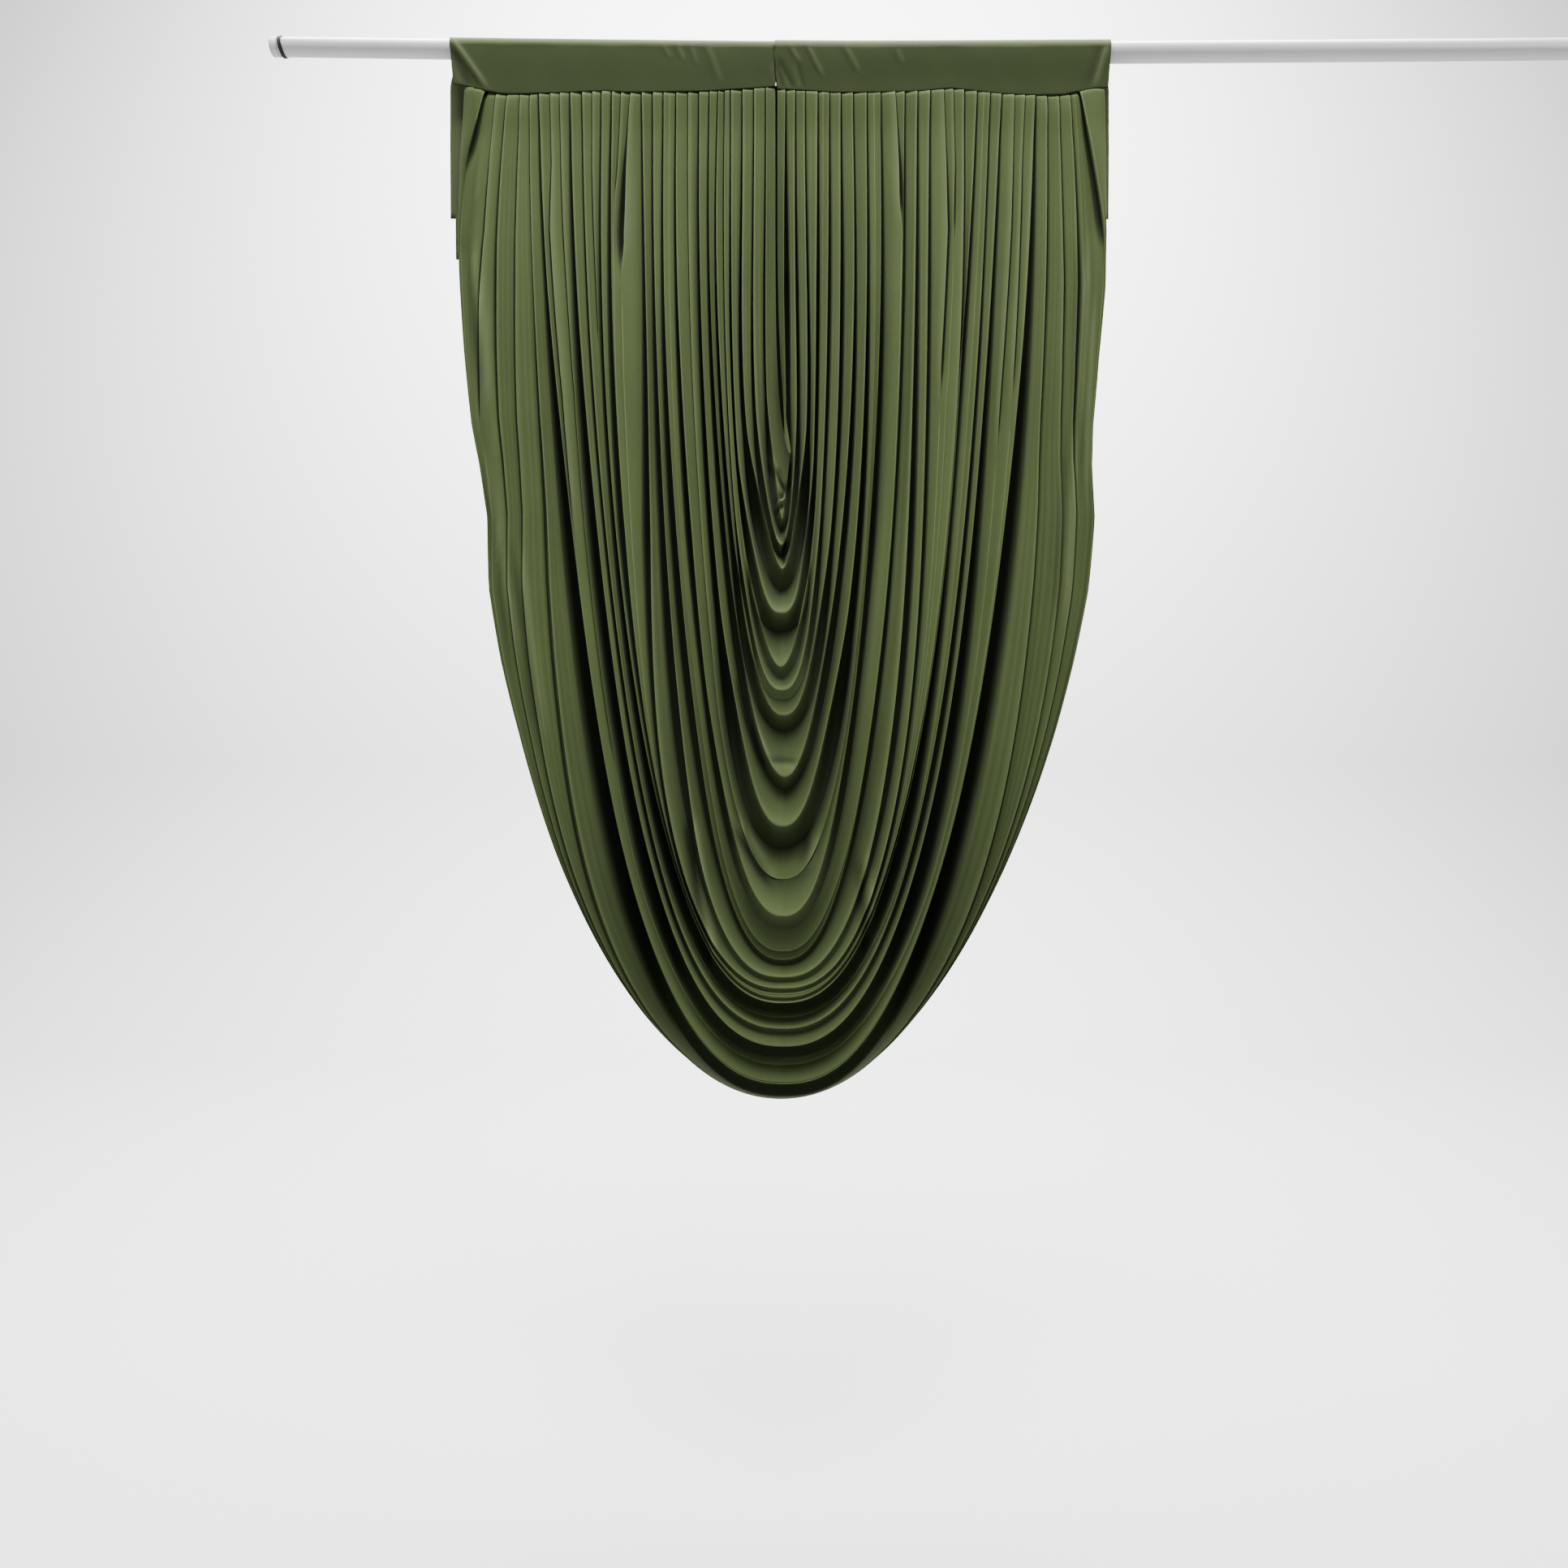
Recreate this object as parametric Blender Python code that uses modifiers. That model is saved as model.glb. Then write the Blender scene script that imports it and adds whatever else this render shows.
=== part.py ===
"""Swag drape on a telescopic rod, modelled in metres with +Z up.

The swag is one pleated cloth sewn under two header bands.  Each band is a strip of the same cloth
folded over the rod, with a short panel in front and a longer flap behind.  X runs along the rod to
the right, Y points away from the room and the origin is the rod's axis over its left arm seat.
"""

import math
from collections import namedtuple

import bmesh
import bpy

PART_NAME = "swag_drape_on_rod"

# Rod: a thin tube slides into a thicker one, and both sag a little under the cloth.
ROD_LENGTH = 3.000
ROD_OVERHANG = 0.0425          # from the left end face to the arm seat at the origin
THIN_TUBE_RADIUS = 0.0176
THICK_TUBE_RADIUS = 0.0195
TUBE_JOINT_X = 0.9700
ROD_SAG = 0.0135
ROD_LOW_X = 1.1420
SAG_POWER = 1.3
SAG_PITCH = 0.125              # the axis is straight between stations this far apart
ROD_SIDES_RESOLUTION = 8
FIT_GAP = 0.0003

# End caps and the rubber ring beside the left one.
CAP_LENGTH = 0.0145
CAP_EDGE = 0.0020
CAP_EDGE_CORNER = 0.3          # the edge's middle point lies this share of it from the sharp corner
CAP_STEPS = 24
RING_WIDTH = 0.0070
RING_WALL = 0.0012
RING_CLEARANCE = 0.0007
RING_LEAN = math.radians(7.0)
RING_X = -0.0205

# Cloth sheets.
CLOTH = 0.0020
CLOTH_TO_ROD = 0.0008
SWAG_CENTRE_X = 0.9820

# Header bands: front panel, wrap over the rod and back flap.
BAND_COLUMNS = 18
WRAP_STEPS = 10
FLAP_STEPS = 3
NOTCH_WIDTH = 0.0090           # the flap's outer corner is cut short by this strip
NOTCH_DROP = 0.3340
FLAP_FLARE = 0.0100            # the flap hangs this much wider than the front panel

Band = namedtuple("Band", "name x_min x_max tube_radius outer_side flap_drop")
BANDS = (
    Band("header_band_left", 0.3240, 0.9686, THIN_TUBE_RADIUS, -1, 0.4170),
    Band("header_band_right", 0.9712, 1.6390, THICK_TUBE_RADIUS, 1, 0.4340),
)

# Lower edge of the two front panels: distance along the rod and drop below its axis at the seat.
SeamPoint = namedtuple("SeamPoint", "x drop")
SEAM = (
    SeamPoint(0.324, 0.0860),
    SeamPoint(0.358, 0.0900),
    SeamPoint(0.391, 0.0985),
    SeamPoint(0.425, 0.1045),
    SeamPoint(0.465, 0.1052),
    SeamPoint(0.540, 0.1032),
    SeamPoint(0.632, 0.0990),
    SeamPoint(0.672, 0.1020),
    SeamPoint(0.820, 0.1005),
    SeamPoint(0.925, 0.0940),
    SeamPoint(0.9695, 0.0900),
    SeamPoint(0.9710, 0.0956),
    SeamPoint(1.038, 0.0988),
    SeamPoint(1.090, 0.1030),
    SeamPoint(1.178, 0.1020),
    SeamPoint(1.270, 0.0988),
    SeamPoint(1.322, 0.0940),
    SeamPoint(1.351, 0.0972),
    SeamPoint(1.420, 0.1048),
    SeamPoint(1.490, 0.1076),
    SeamPoint(1.547, 0.1064),
    SeamPoint(1.575, 0.1005),
    SeamPoint(1.611, 0.0950),
    SeamPoint(1.640, 0.0925),
)

# Swag cloth.  Each fold hangs as a U from the left half of the seam to the right half.  Distances
# are from the swag's centre line at the seam; a fold's lip is its front edge and its gap is the
# hollow just outside it.  Drops are below the rod's axis at the centre, and reaches are how far
# the lip and the gap stand in front of that axis there.
SEAM_LAP = 0.0120              # the pleats run up behind the bands by this much
SEAM_REACH_LEFT = 0.0105
SEAM_REACH_RIGHT = 0.0122
SEAM_RELIEF = 0.0060
OPENING_DEPTH = 0.30           # share of the drop over which the pleats open into round folds
SIDE_ROUNDING = 0.40
FOOT_POWER = 4                 # a fold's two sides even out, and its relief settles, near the foot
REACH_POWER = 2                # the folds come forward faster the lower they hang
LIP_INSET = 0.0050
EDGE_BELLY = 0.0060            # the narrow slot at the centre opens to this half-width at its foot
FACE_CROWN = 0.72
SWAG_STATIONS = 36

Fold = namedtuple("Fold", "name left right fullness relief lip_drop lip_reach gap_drop gap_reach")
INNER_EDGE = Fold("inner_edge", 0.0075, -0.0045, 7.0, 0.000, 0.830, 0.045, 0.830, 0.045)
FOLDS = (
    Fold("neck_1", 0.0275, 0.0097, 6.0, 0.010, 0.8900, 0.050, 0.8970, 0.030),
    Fold("neck_2", 0.0520, 0.0290, 5.0, 0.012, 0.9620, 0.055, 0.9820, 0.030),
    Fold("neck_3", 0.0730, 0.0485, 4.0, 0.013, 1.0890, 0.060, 1.1010, 0.035),
    Fold("bowl_1", 0.0955, 0.0730, 2.6, 0.014, 1.1530, 0.070, 1.1820, 0.040),
    Fold("bowl_2", 0.1100, 0.0970, 2.6, 0.010, 1.3000, 0.075, 1.3080, 0.055),
    Fold("bowl_3", 0.1245, 0.1200, 2.5, 0.015, 1.3500, 0.085, 1.3780, 0.050),
    Fold("bowl_4", 0.1420, 0.1440, 2.2, 0.015, 1.4700, 0.090, 1.4950, 0.055),
    Fold("bowl_5", 0.1620, 0.1715, 2.0, 0.018, 1.5640, 0.100, 1.6040, 0.060),
    Fold("lap_1", 0.2085, 0.2005, 1.9, 0.018, 1.7340, 0.115, 1.7570, 0.080),
    Fold("lap_2", 0.2380, 0.2475, 2.0, 0.025, 1.8210, 0.115, 1.8320, 0.085),
    Fold("lap_3", 0.2555, 0.2720, 2.7, 0.020, 1.8540, 0.115, 1.8630, 0.090),
    Fold("lap_4", 0.2780, 0.2980, 3.1, 0.016, 1.8740, 0.115, 1.8810, 0.095),
    Fold("lap_5", 0.3380, 0.3620, 2.1, 0.022, 1.8880, 0.120, 1.8950, 0.100),
    Fold("foot_1", 0.3620, 0.3870, 2.0, 0.020, 1.9000, 0.125, 1.9220, 0.085),
    Fold("foot_2", 0.3950, 0.4090, 1.9, 0.016, 1.9510, 0.115, 1.9630, 0.090),
    Fold("foot_3", 0.4205, 0.4300, 1.9, 0.018, 1.9820, 0.115, 2.0080, 0.075),
    Fold("foot_4", 0.4820, 0.5050, 1.7, 0.035, 2.0590, 0.100, 2.0890, 0.050),
)

# Past the last of those folds the cloth runs out to the hem.  Its soft ridges drift outward as
# they go down: shares of the way from that fold to the hem, at the seam and at the foot.
OuterRidge = namedtuple("OuterRidge", "name left right foot settle relief")
OUTER_RIDGES = (
    OuterRidge("side_1", 0.11, 0.15, 0.55, 1.00, 0.016),
    OuterRidge("side_2", 0.20, 0.36, 0.80, 1.00, 0.014),
    OuterRidge("side_3", 0.42, 0.56, 0.95, 0.65, 0.010),
)
OUTER_LIP_SHARE = 0.05
OUTER_FADE_POWER = 3           # the ridges flatten out toward the foot

# Hem: half an ellipse with uneven sides.  A trim moves the edge outward at a share of the drop.
HEM_LEFT = 0.6487
HEM_RIGHT = 0.6520
HEM_DROP = 2.1120
HEM_FULLNESS = 2.35
HEM_ROUNDING = 0.50
HEM_REACH = 0.0200
Trim = namedtuple("Trim", "share left right")
HEM_TRIMS = (
    Trim(0.00, -0.018, -0.006),
    Trim(0.07, -0.006, 0.000),
    Trim(0.16, 0.002, 0.004),
    Trim(0.27, -0.003, -0.005),
    Trim(0.34, -0.007, -0.007),
    Trim(0.38, -0.015, -0.001),
    Trim(0.43, -0.017, 0.020),
    Trim(0.50, -0.002, 0.022),
    Trim(0.64, -0.003, 0.016),
    Trim(0.76, -0.001, 0.001),
    Trim(0.86, -0.005, -0.007),
    Trim(0.92, -0.009, -0.020),
    Trim(0.96, -0.008, -0.008),
    Trim(1.00, 0.000, 0.000),
)

MATERIALS = {
    "stretch_cloth": ((0.105, 0.145, 0.062, 1.0), 0.85, 0.0),
    "white_enamel": ((0.78, 0.78, 0.77, 1.0), 0.32, 0.0),
    "white_plastic": ((0.80, 0.80, 0.79, 1.0), 0.45, 0.0),
    "black_rubber": ((0.012, 0.012, 0.012, 1.0), 0.80, 0.0),
}


def clear_scene():
    for old in list(bpy.data.objects):
        bpy.data.objects.remove(old, do_unlink=True)


def part_collection():
    collection = bpy.data.collections.new(PART_NAME)
    bpy.context.scene.collection.children.link(collection)
    return collection


def material(name):
    colour, roughness, metallic = MATERIALS[name]
    finish = bpy.data.materials.new(name)
    finish.use_nodes = True
    shader = finish.node_tree.nodes["Principled BSDF"]
    shader.inputs["Base Color"].default_value = colour
    shader.inputs["Roughness"].default_value = roughness
    shader.inputs["Metallic"].default_value = metallic
    return finish


def lerp(low, high, share):
    return low + (high - low) * share


def smooth_share(value):
    value = min(max(value, 0.0), 1.0)
    return value * value * (3.0 - 2.0 * value)


def read_table(rows, key, at, column):
    """Value of a column at a place along the table's key column, on straight runs between rows."""
    for low, high in zip(rows, rows[1:]):
        start, end = getattr(low, key), getattr(high, key)
        if at <= end:
            share = max(0.0, (at - start) / (end - start))
            return lerp(getattr(low, column), getattr(high, column), share)
    return getattr(rows[-1], column)


def sag(x):
    """Height of the rod's axis, level at both ends and lowest under the middle of the swag."""
    right_end = ROD_LENGTH - ROD_OVERHANG
    reach = ROD_LOW_X if x < ROD_LOW_X else right_end - ROD_LOW_X
    share = min(abs(x - ROD_LOW_X) / reach, 1.0)
    return -ROD_SAG * (1.0 - share ** SAG_POWER)


def rod_height(x):
    """Height of the axis on the straight run between the stations on either side of x."""
    station = math.floor(x / SAG_PITCH)
    return lerp(sag(station * SAG_PITCH), sag((station + 1) * SAG_PITCH), x / SAG_PITCH - station)


def seam_height(x):
    return -read_table(SEAM, "x", x, "drop")


def link(collection, name, mesh, finish):
    mesh.materials.clear()
    mesh.materials.append(finish)
    mesh.shade_smooth()
    thing = bpy.data.objects.new(name, mesh)
    collection.objects.link(thing)
    return thing


def make_tube(collection, name, x_start, x_end, radius, finish):
    """A round bar swept along the rod's sagging axis."""
    curve = bpy.data.curves.new(name, "CURVE")
    curve.dimensions = "3D"
    curve.bevel_depth = radius
    curve.bevel_resolution = ROD_SIDES_RESOLUTION
    curve.use_fill_caps = True
    first = math.floor(x_start / SAG_PITCH) + 1
    last = math.ceil(x_end / SAG_PITCH)
    places = [x_start] + [station * SAG_PITCH for station in range(first, last)] + [x_end]
    spline = curve.splines.new("POLY")
    spline.points.add(len(places) - 1)
    for point, x in zip(spline.points, places):
        point.co = (x, 0.0, rod_height(x), 1.0)
    curve.materials.append(finish)
    tube = bpy.data.objects.new(name, curve)
    collection.objects.link(tube)
    return tube


def turned_profile(name, points):
    """A profile in the XZ plane turned about Z."""
    mesh = bpy.data.meshes.new(name)
    edges = [(index, index + 1) for index in range(len(points) - 1)]
    mesh.from_pydata([(radius, 0.0, height) for radius, height in points], edges, [])
    return mesh


def add_screw(thing, steps):
    screw = thing.modifiers.new("turn", "SCREW")
    screw.axis = "Z"
    screw.steps = steps
    screw.render_steps = steps
    screw.use_merge_vertices = True
    screw.merge_threshold = 0.00001


def make_cap(collection, name, x_face, side, radius, finish):
    """A plug cap with a small round edge, its flat face outward."""
    corner = CAP_EDGE_CORNER * CAP_EDGE
    points = (
        (0.0, CAP_LENGTH),
        (radius - CAP_EDGE, CAP_LENGTH),
        (radius - corner, CAP_LENGTH - corner),
        (radius, CAP_LENGTH - CAP_EDGE),
        (radius, 0.0),
        (0.0, 0.0),
    )
    cap = link(collection, name, turned_profile(name, points), finish)
    add_screw(cap, CAP_STEPS)
    cap.location = (x_face - side * CAP_LENGTH, 0.0, 0.0)
    cap.rotation_euler = (0.0, side * math.pi / 2.0, 0.0)
    return cap


def make_ring(collection, name, finish):
    """A flat rubber ring that leans a little on the thin tube."""
    inner = THIN_TUBE_RADIUS + RING_CLEARANCE
    outer = inner + RING_WALL
    half = RING_WIDTH / 2.0
    points = ((outer, half), (outer, -half), (inner, -half), (inner, half), (outer, half))
    ring = link(collection, name, turned_profile(name, points), finish)
    weld = ring.modifiers.new("close_profile", "WELD")
    weld.merge_threshold = 0.00001
    add_screw(ring, CAP_STEPS)
    ring.location = (RING_X, 0.0, rod_height(RING_X))
    ring.rotation_euler = (0.0, math.pi / 2.0 - RING_LEAN, 0.0)
    return ring


def grid_mesh(name, rows):
    """An open sheet through rows of points; each row has the same number of points."""
    mesh = bpy.data.meshes.new(name)
    sheet = bmesh.new()
    corners = [[sheet.verts.new(point) for point in row] for row in rows]
    for row, next_row in zip(corners, corners[1:]):
        for index in range(len(row) - 1):
            sheet.faces.new((row[index], next_row[index], next_row[index + 1], row[index + 1]))
    bmesh.ops.recalc_face_normals(sheet, faces=sheet.faces)
    sheet.to_mesh(mesh)
    sheet.free()
    return mesh


def add_cloth_thickness(sheet):
    thickness = sheet.modifiers.new("cloth", "SOLIDIFY")
    thickness.thickness = CLOTH
    thickness.offset = 0.0
    thickness.use_rim = True


def band_columns(band):
    """Places along the front panel, with a close pair at the notch in the flap's outer corner."""
    width = band.x_max - band.x_min
    even = [width * index / BAND_COLUMNS for index in range(BAND_COLUMNS + 1)]
    notched = sorted(even + [NOTCH_WIDTH, NOTCH_WIDTH + CLOTH])
    if band.outer_side < 0:
        return [band.x_min + step for step in notched]
    return [band.x_max - step for step in reversed(notched)]


def band_section(band, x):
    """One section of a band: front panel, half a turn over the rod, then the flap."""
    wrap = band.tube_radius + CLOTH_TO_ROD + CLOTH / 2.0
    axis = rod_height(x)
    outer_edge = band.x_min if band.outer_side < 0 else band.x_max
    from_edge = abs(x - outer_edge)
    drop = NOTCH_DROP if from_edge < NOTCH_WIDTH + CLOTH / 2.0 else band.flap_drop
    flare = band.outer_side * FLAP_FLARE * (1.0 - from_edge / (band.x_max - band.x_min))
    bottom = seam_height(x)
    points = [(x, -wrap, bottom), (x, -wrap, lerp(bottom, axis, 0.5))]
    for step in range(WRAP_STEPS + 1):
        angle = math.pi * step / WRAP_STEPS
        points.append((x, -wrap * math.cos(angle), axis + wrap * math.sin(angle)))
    for step in range(1, FLAP_STEPS + 1):
        share = step / FLAP_STEPS
        points.append((x + flare * share, wrap, lerp(axis, -drop, share)))
    return points


def make_band(collection, band, finish):
    rows = [band_section(band, x) for x in band_columns(band)]
    sheet = link(collection, band.name, grid_mesh(band.name, rows), finish)
    add_cloth_thickness(sheet)
    return sheet


def u_point(fold, side, share, inset, drop, reach):
    """A point on a fold's U at a share of its drop: side is -1 on the left and 1 on the right."""
    at_seam = (fold.left if side < 0 else fold.right) - inset
    at_foot = max(0.5 * (fold.left + fold.right), EDGE_BELLY) - inset
    distance = lerp(at_seam, at_foot, share ** FOOT_POWER)
    spread = max(0.0, 1.0 - share ** fold.fullness) ** SIDE_ROUNDING
    top = seam_height(SWAG_CENTRE_X + side * at_seam) + SEAM_LAP
    return (SWAG_CENTRE_X + side * distance * spread, -reach, lerp(top, -drop, share))


def seam_reach(side):
    return SEAM_REACH_LEFT if side < 0 else SEAM_REACH_RIGHT


def fold_reaches(fold, side, share):
    """How far a fold's gap and lip stand forward at a share of the drop."""
    gap = lerp(seam_reach(side), fold.gap_reach, share ** REACH_POWER)
    opened = lerp(SEAM_RELIEF, fold.relief, smooth_share(share / OPENING_DEPTH))
    relief = lerp(opened, fold.lip_reach - fold.gap_reach, share ** FOOT_POWER)
    return gap, gap + relief


def between(first, second, crown):
    """Middle of a fold's face, pushed forward so that the face is round."""
    x = lerp(first[0], second[0], 0.5)
    y = lerp(first[1], second[1], crown)
    z = lerp(first[2], second[2], 0.5)
    return (x, y, z)


def hem_point(side, share):
    width, column = (HEM_LEFT, "left") if side < 0 else (HEM_RIGHT, "right")
    spread = max(0.0, 1.0 - share ** HEM_FULLNESS) ** HEM_ROUNDING
    x = SWAG_CENTRE_X + side * (width * spread + read_table(HEM_TRIMS, "share", share, column))
    top = seam_height(SWAG_CENTRE_X + side * width) + SEAM_LAP
    return (x, -lerp(seam_reach(side), HEM_REACH, share), lerp(top, -HEM_DROP, share))


def swag_section(angle):
    """One section across the swag, from its inner edge out to the hem."""
    share = math.sin(angle)
    side = -1.0 if angle < math.pi / 2.0 else 1.0
    column = "left" if side < 0 else "right"

    edge_reach = lerp(seam_reach(side), INNER_EDGE.lip_reach, share ** REACH_POWER)
    points = [u_point(INNER_EDGE, side, share, 0.0, INNER_EDGE.lip_drop, edge_reach)]
    for fold in FOLDS:
        gap_reach, lip_reach = fold_reaches(fold, side, share)
        lip = u_point(fold, side, share, LIP_INSET, fold.lip_drop, lip_reach)
        gap = u_point(fold, side, share, 0.0, fold.gap_drop, gap_reach)
        points += [between(points[-1], lip, FACE_CROWN), lip, gap]

    last_gap = points[-1]
    hem = hem_point(side, share)
    for ridge in OUTER_RIDGES:
        seam_share = getattr(ridge, column)
        place = lerp(seam_share, ridge.foot, smooth_share(share / ridge.settle))
        opened = lerp(SEAM_RELIEF, ridge.relief, smooth_share(share / OPENING_DEPTH))
        relief = lerp(opened, 0.0, share ** OUTER_FADE_POWER)
        gap = tuple(lerp(near, far, place) for near, far in zip(last_gap, hem))
        lip = tuple(lerp(near, far, place - OUTER_LIP_SHARE) for near, far in zip(last_gap, hem))
        lip = (lip[0], lip[1] - relief, lip[2])
        points += [between(points[-1], lip, FACE_CROWN), lip, gap]
    points += [between(points[-1], hem, 0.5), hem]
    return points


def make_swag(collection, finish):
    angles = [math.pi * index / SWAG_STATIONS for index in range(SWAG_STATIONS + 1)]
    rows = [swag_section(angle) for angle in angles]
    sheet = link(collection, "swag_cloth", grid_mesh("swag_cloth", rows), finish)
    add_cloth_thickness(sheet)
    return sheet


def build():
    clear_scene()
    collection = part_collection()
    cloth = material("stretch_cloth")
    enamel = material("white_enamel")
    plastic = material("white_plastic")
    rubber = material("black_rubber")

    left_end = -ROD_OVERHANG
    right_end = ROD_LENGTH - ROD_OVERHANG
    tube_start = left_end + CAP_LENGTH + FIT_GAP
    tube_end = right_end - CAP_LENGTH - FIT_GAP
    make_tube(collection, "rod_thin_tube", tube_start, TUBE_JOINT_X, THIN_TUBE_RADIUS, enamel)
    make_tube(collection, "rod_thick_tube", TUBE_JOINT_X + FIT_GAP, tube_end, THICK_TUBE_RADIUS, enamel)
    make_cap(collection, "end_cap_left", left_end, -1, THIN_TUBE_RADIUS, plastic)
    make_cap(collection, "end_cap_right", right_end, 1, THICK_TUBE_RADIUS, plastic)
    make_ring(collection, "rubber_ring", rubber)

    for band in BANDS:
        make_band(collection, band, cloth)
    make_swag(collection, cloth)


build()
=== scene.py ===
import math
from collections import namedtuple

import bmesh
import bpy
import numpy as np
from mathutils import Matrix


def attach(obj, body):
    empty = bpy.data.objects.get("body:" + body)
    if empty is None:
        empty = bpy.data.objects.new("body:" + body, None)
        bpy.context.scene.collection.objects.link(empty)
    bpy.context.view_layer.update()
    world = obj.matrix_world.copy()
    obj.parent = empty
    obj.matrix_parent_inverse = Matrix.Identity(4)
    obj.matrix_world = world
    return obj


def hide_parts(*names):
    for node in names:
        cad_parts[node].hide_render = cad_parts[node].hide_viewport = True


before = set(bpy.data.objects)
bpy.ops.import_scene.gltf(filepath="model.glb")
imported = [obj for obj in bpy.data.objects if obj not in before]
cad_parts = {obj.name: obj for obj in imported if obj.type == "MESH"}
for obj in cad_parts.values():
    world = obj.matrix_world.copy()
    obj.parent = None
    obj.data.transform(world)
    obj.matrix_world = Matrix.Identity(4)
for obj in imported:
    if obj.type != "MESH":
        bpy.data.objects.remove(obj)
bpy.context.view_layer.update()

# ----------
# Room: a pale floor that sweeps up into a pale wall well behind the drape, soft boxes in front
# and above, and the camera low and square on to the middle of the swag.

FLOOR_Z = -2.95
FLOOR_HALF_WIDTH = 9.0
FLOOR_FRONT = -7.0
SWEEP_START = 3.6
SWEEP_RADIUS = 1.6
SWEEP_STEPS = 12
WALL_TOP = 5.0
PAPER_COLOUR = (0.88, 0.88, 0.87, 1.0)
PAPER_SHADE = (0.84, 0.84, 0.83, 1.0)
PAPER_BOUNCE = (0.34, 0.34, 0.34, 1.0)
PAPER_PATCHES = 1.5
AIR_COLOUR = (1.0, 1.0, 1.0, 1.0)
AIR_LIGHT = 0.09
AIR_SEEN = 0.95
SENSOR_WIDTH = 36.0
FOCAL_LENGTH = 25.49
CAMERA_PLACE = (0.9884, -2.235, -1.4833)

SoftBox = namedtuple("SoftBox", "name place target size power")
SOFT_BOXES = (
    SoftBox("ceiling_front", (1.0, -2.4, 4.2), (1.0, 0.0, -0.9), 2.6, 635.0),
    SoftBox("left_front", (-2.6, -3.4, 0.2), (0.9, 0.0, -0.9), 2.0, 38.0),
    SoftBox("right_front", (4.6, -3.4, 0.2), (1.1, 0.0, -0.9), 2.0, 38.0),
    SoftBox("wall_wash", (1.0, 1.6, 3.4), (1.0, 5.2, -0.6), 5.0, 1850.0),
    SoftBox("floor_wash", (1.0, 1.9, 2.8), (1.0, 3.0, -2.9), 4.0, 240.0),
)


def set_up(name, data):
    """Puts a mesh, a light or a camera in the scene."""
    thing = bpy.data.objects.new(name, data)
    bpy.context.scene.collection.objects.link(thing)
    return thing


def set_node(tree, node, **values):
    """Sets a node's own settings, and its sockets' plain values or links, by name."""
    for label, value in values.items():
        if isinstance(value, bpy.types.NodeSocket):
            tree.links.new(value, node.inputs[label.replace("_", " ")])
        elif hasattr(node, label):
            setattr(node, label, value)
        else:
            node.inputs[label.replace("_", " ")].default_value = value
    return node.outputs


def shader_node(tree, kind, **values):
    """Adds a shader node, and gives its outputs."""
    return set_node(tree, tree.nodes.new("ShaderNode" + kind), **values)


def mixed(tree, factor, first, second):
    """A mix of two colours."""
    return shader_node(tree, "Mix", data_type="RGBA", Factor=factor, A=first, B=second)["Result"]


def surface(name, **values):
    """A material, its node tree and its Principled shader with the plain values given."""
    finish = bpy.data.materials.new(name)
    finish.use_nodes = True
    shader = finish.node_tree.nodes["Principled BSDF"]
    set_node(finish.node_tree, shader, **values)
    return finish, finish.node_tree, shader


sweep_profile = [(FLOOR_FRONT, FLOOR_Z), (SWEEP_START, FLOOR_Z)]
for step in range(1, SWEEP_STEPS + 1):
    turn = math.pi / 2 * step / SWEEP_STEPS
    sweep_profile.append((SWEEP_START + SWEEP_RADIUS * math.sin(turn),
                          FLOOR_Z + SWEEP_RADIUS * (1 - math.cos(turn))))
sweep_profile.append((SWEEP_START + SWEEP_RADIUS, WALL_TOP))

paper_mesh = bpy.data.meshes.new("paper_sweep")
paper_points = [(side * FLOOR_HALF_WIDTH, y, z) for y, z in sweep_profile for side in (-1, 1)]
paper_faces = [(2 * i, 2 * i + 1, 2 * i + 3, 2 * i + 2) for i in range(len(sweep_profile) - 1)]
paper_mesh.from_pydata(paper_points, [], paper_faces)
paper_mesh.shade_smooth()
paper_sweep = set_up("paper_sweep", paper_mesh)

# The wall and floor look white from the camera and throw back less light than they seem to.
paper, tree, shader = surface("studio_paper", Roughness=0.95, Specular_IOR_Level=0.1)
patches = shader_node(tree, "TexNoise", Scale=PAPER_PATCHES)["Fac"]
tint = mixed(tree, patches, PAPER_COLOUR, PAPER_SHADE)
seen = shader_node(tree, "LightPath")["Is Camera Ray"]
set_node(tree, shader, Base_Color=mixed(tree, seen, PAPER_BOUNCE, tint))
paper_mesh.materials.append(paper)

for box in SOFT_BOXES:
    lamp = bpy.data.lights.new(box.name, "AREA")
    lamp.shape = "SQUARE"
    lamp.size = box.size
    lamp.energy = box.power
    holder = set_up(box.name, lamp)
    holder.visible_camera = False
    holder.location = box.place
    throw = np.array(box.target) - np.array(box.place)
    holder.rotation_euler = (math.atan2(math.hypot(throw[0], throw[1]), -throw[2]), 0.0,
                             math.atan2(-throw[0], throw[1]))

# The air gives a weak even light, and looks nearly white to the camera.
world = bpy.data.worlds.new("studio")
bpy.context.scene.world = world
world.use_nodes = True
tree = world.node_tree
seen = shader_node(tree, "LightPath")["Is Camera Ray"]
glow = shader_node(tree, "MapRange", Value=seen, To_Min=AIR_LIGHT, To_Max=AIR_SEEN)["Result"]
set_node(tree, tree.nodes["Background"], Color=AIR_COLOUR, Strength=glow)

lens = bpy.data.cameras.new("camera")
lens.sensor_width = SENSOR_WIDTH
lens.lens = FOCAL_LENGTH
camera = set_up("camera", lens)
camera.location = CAMERA_PLACE
camera.rotation_euler = (math.pi / 2, 0.0, 0.0)
bpy.context.scene.camera = camera

# ----------
# Rod: a thin steel tube that slides into a thicker one, both coated in white enamel.  It bends a
# little under the cloth, and rests on a stand's arm near its left end.

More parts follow.
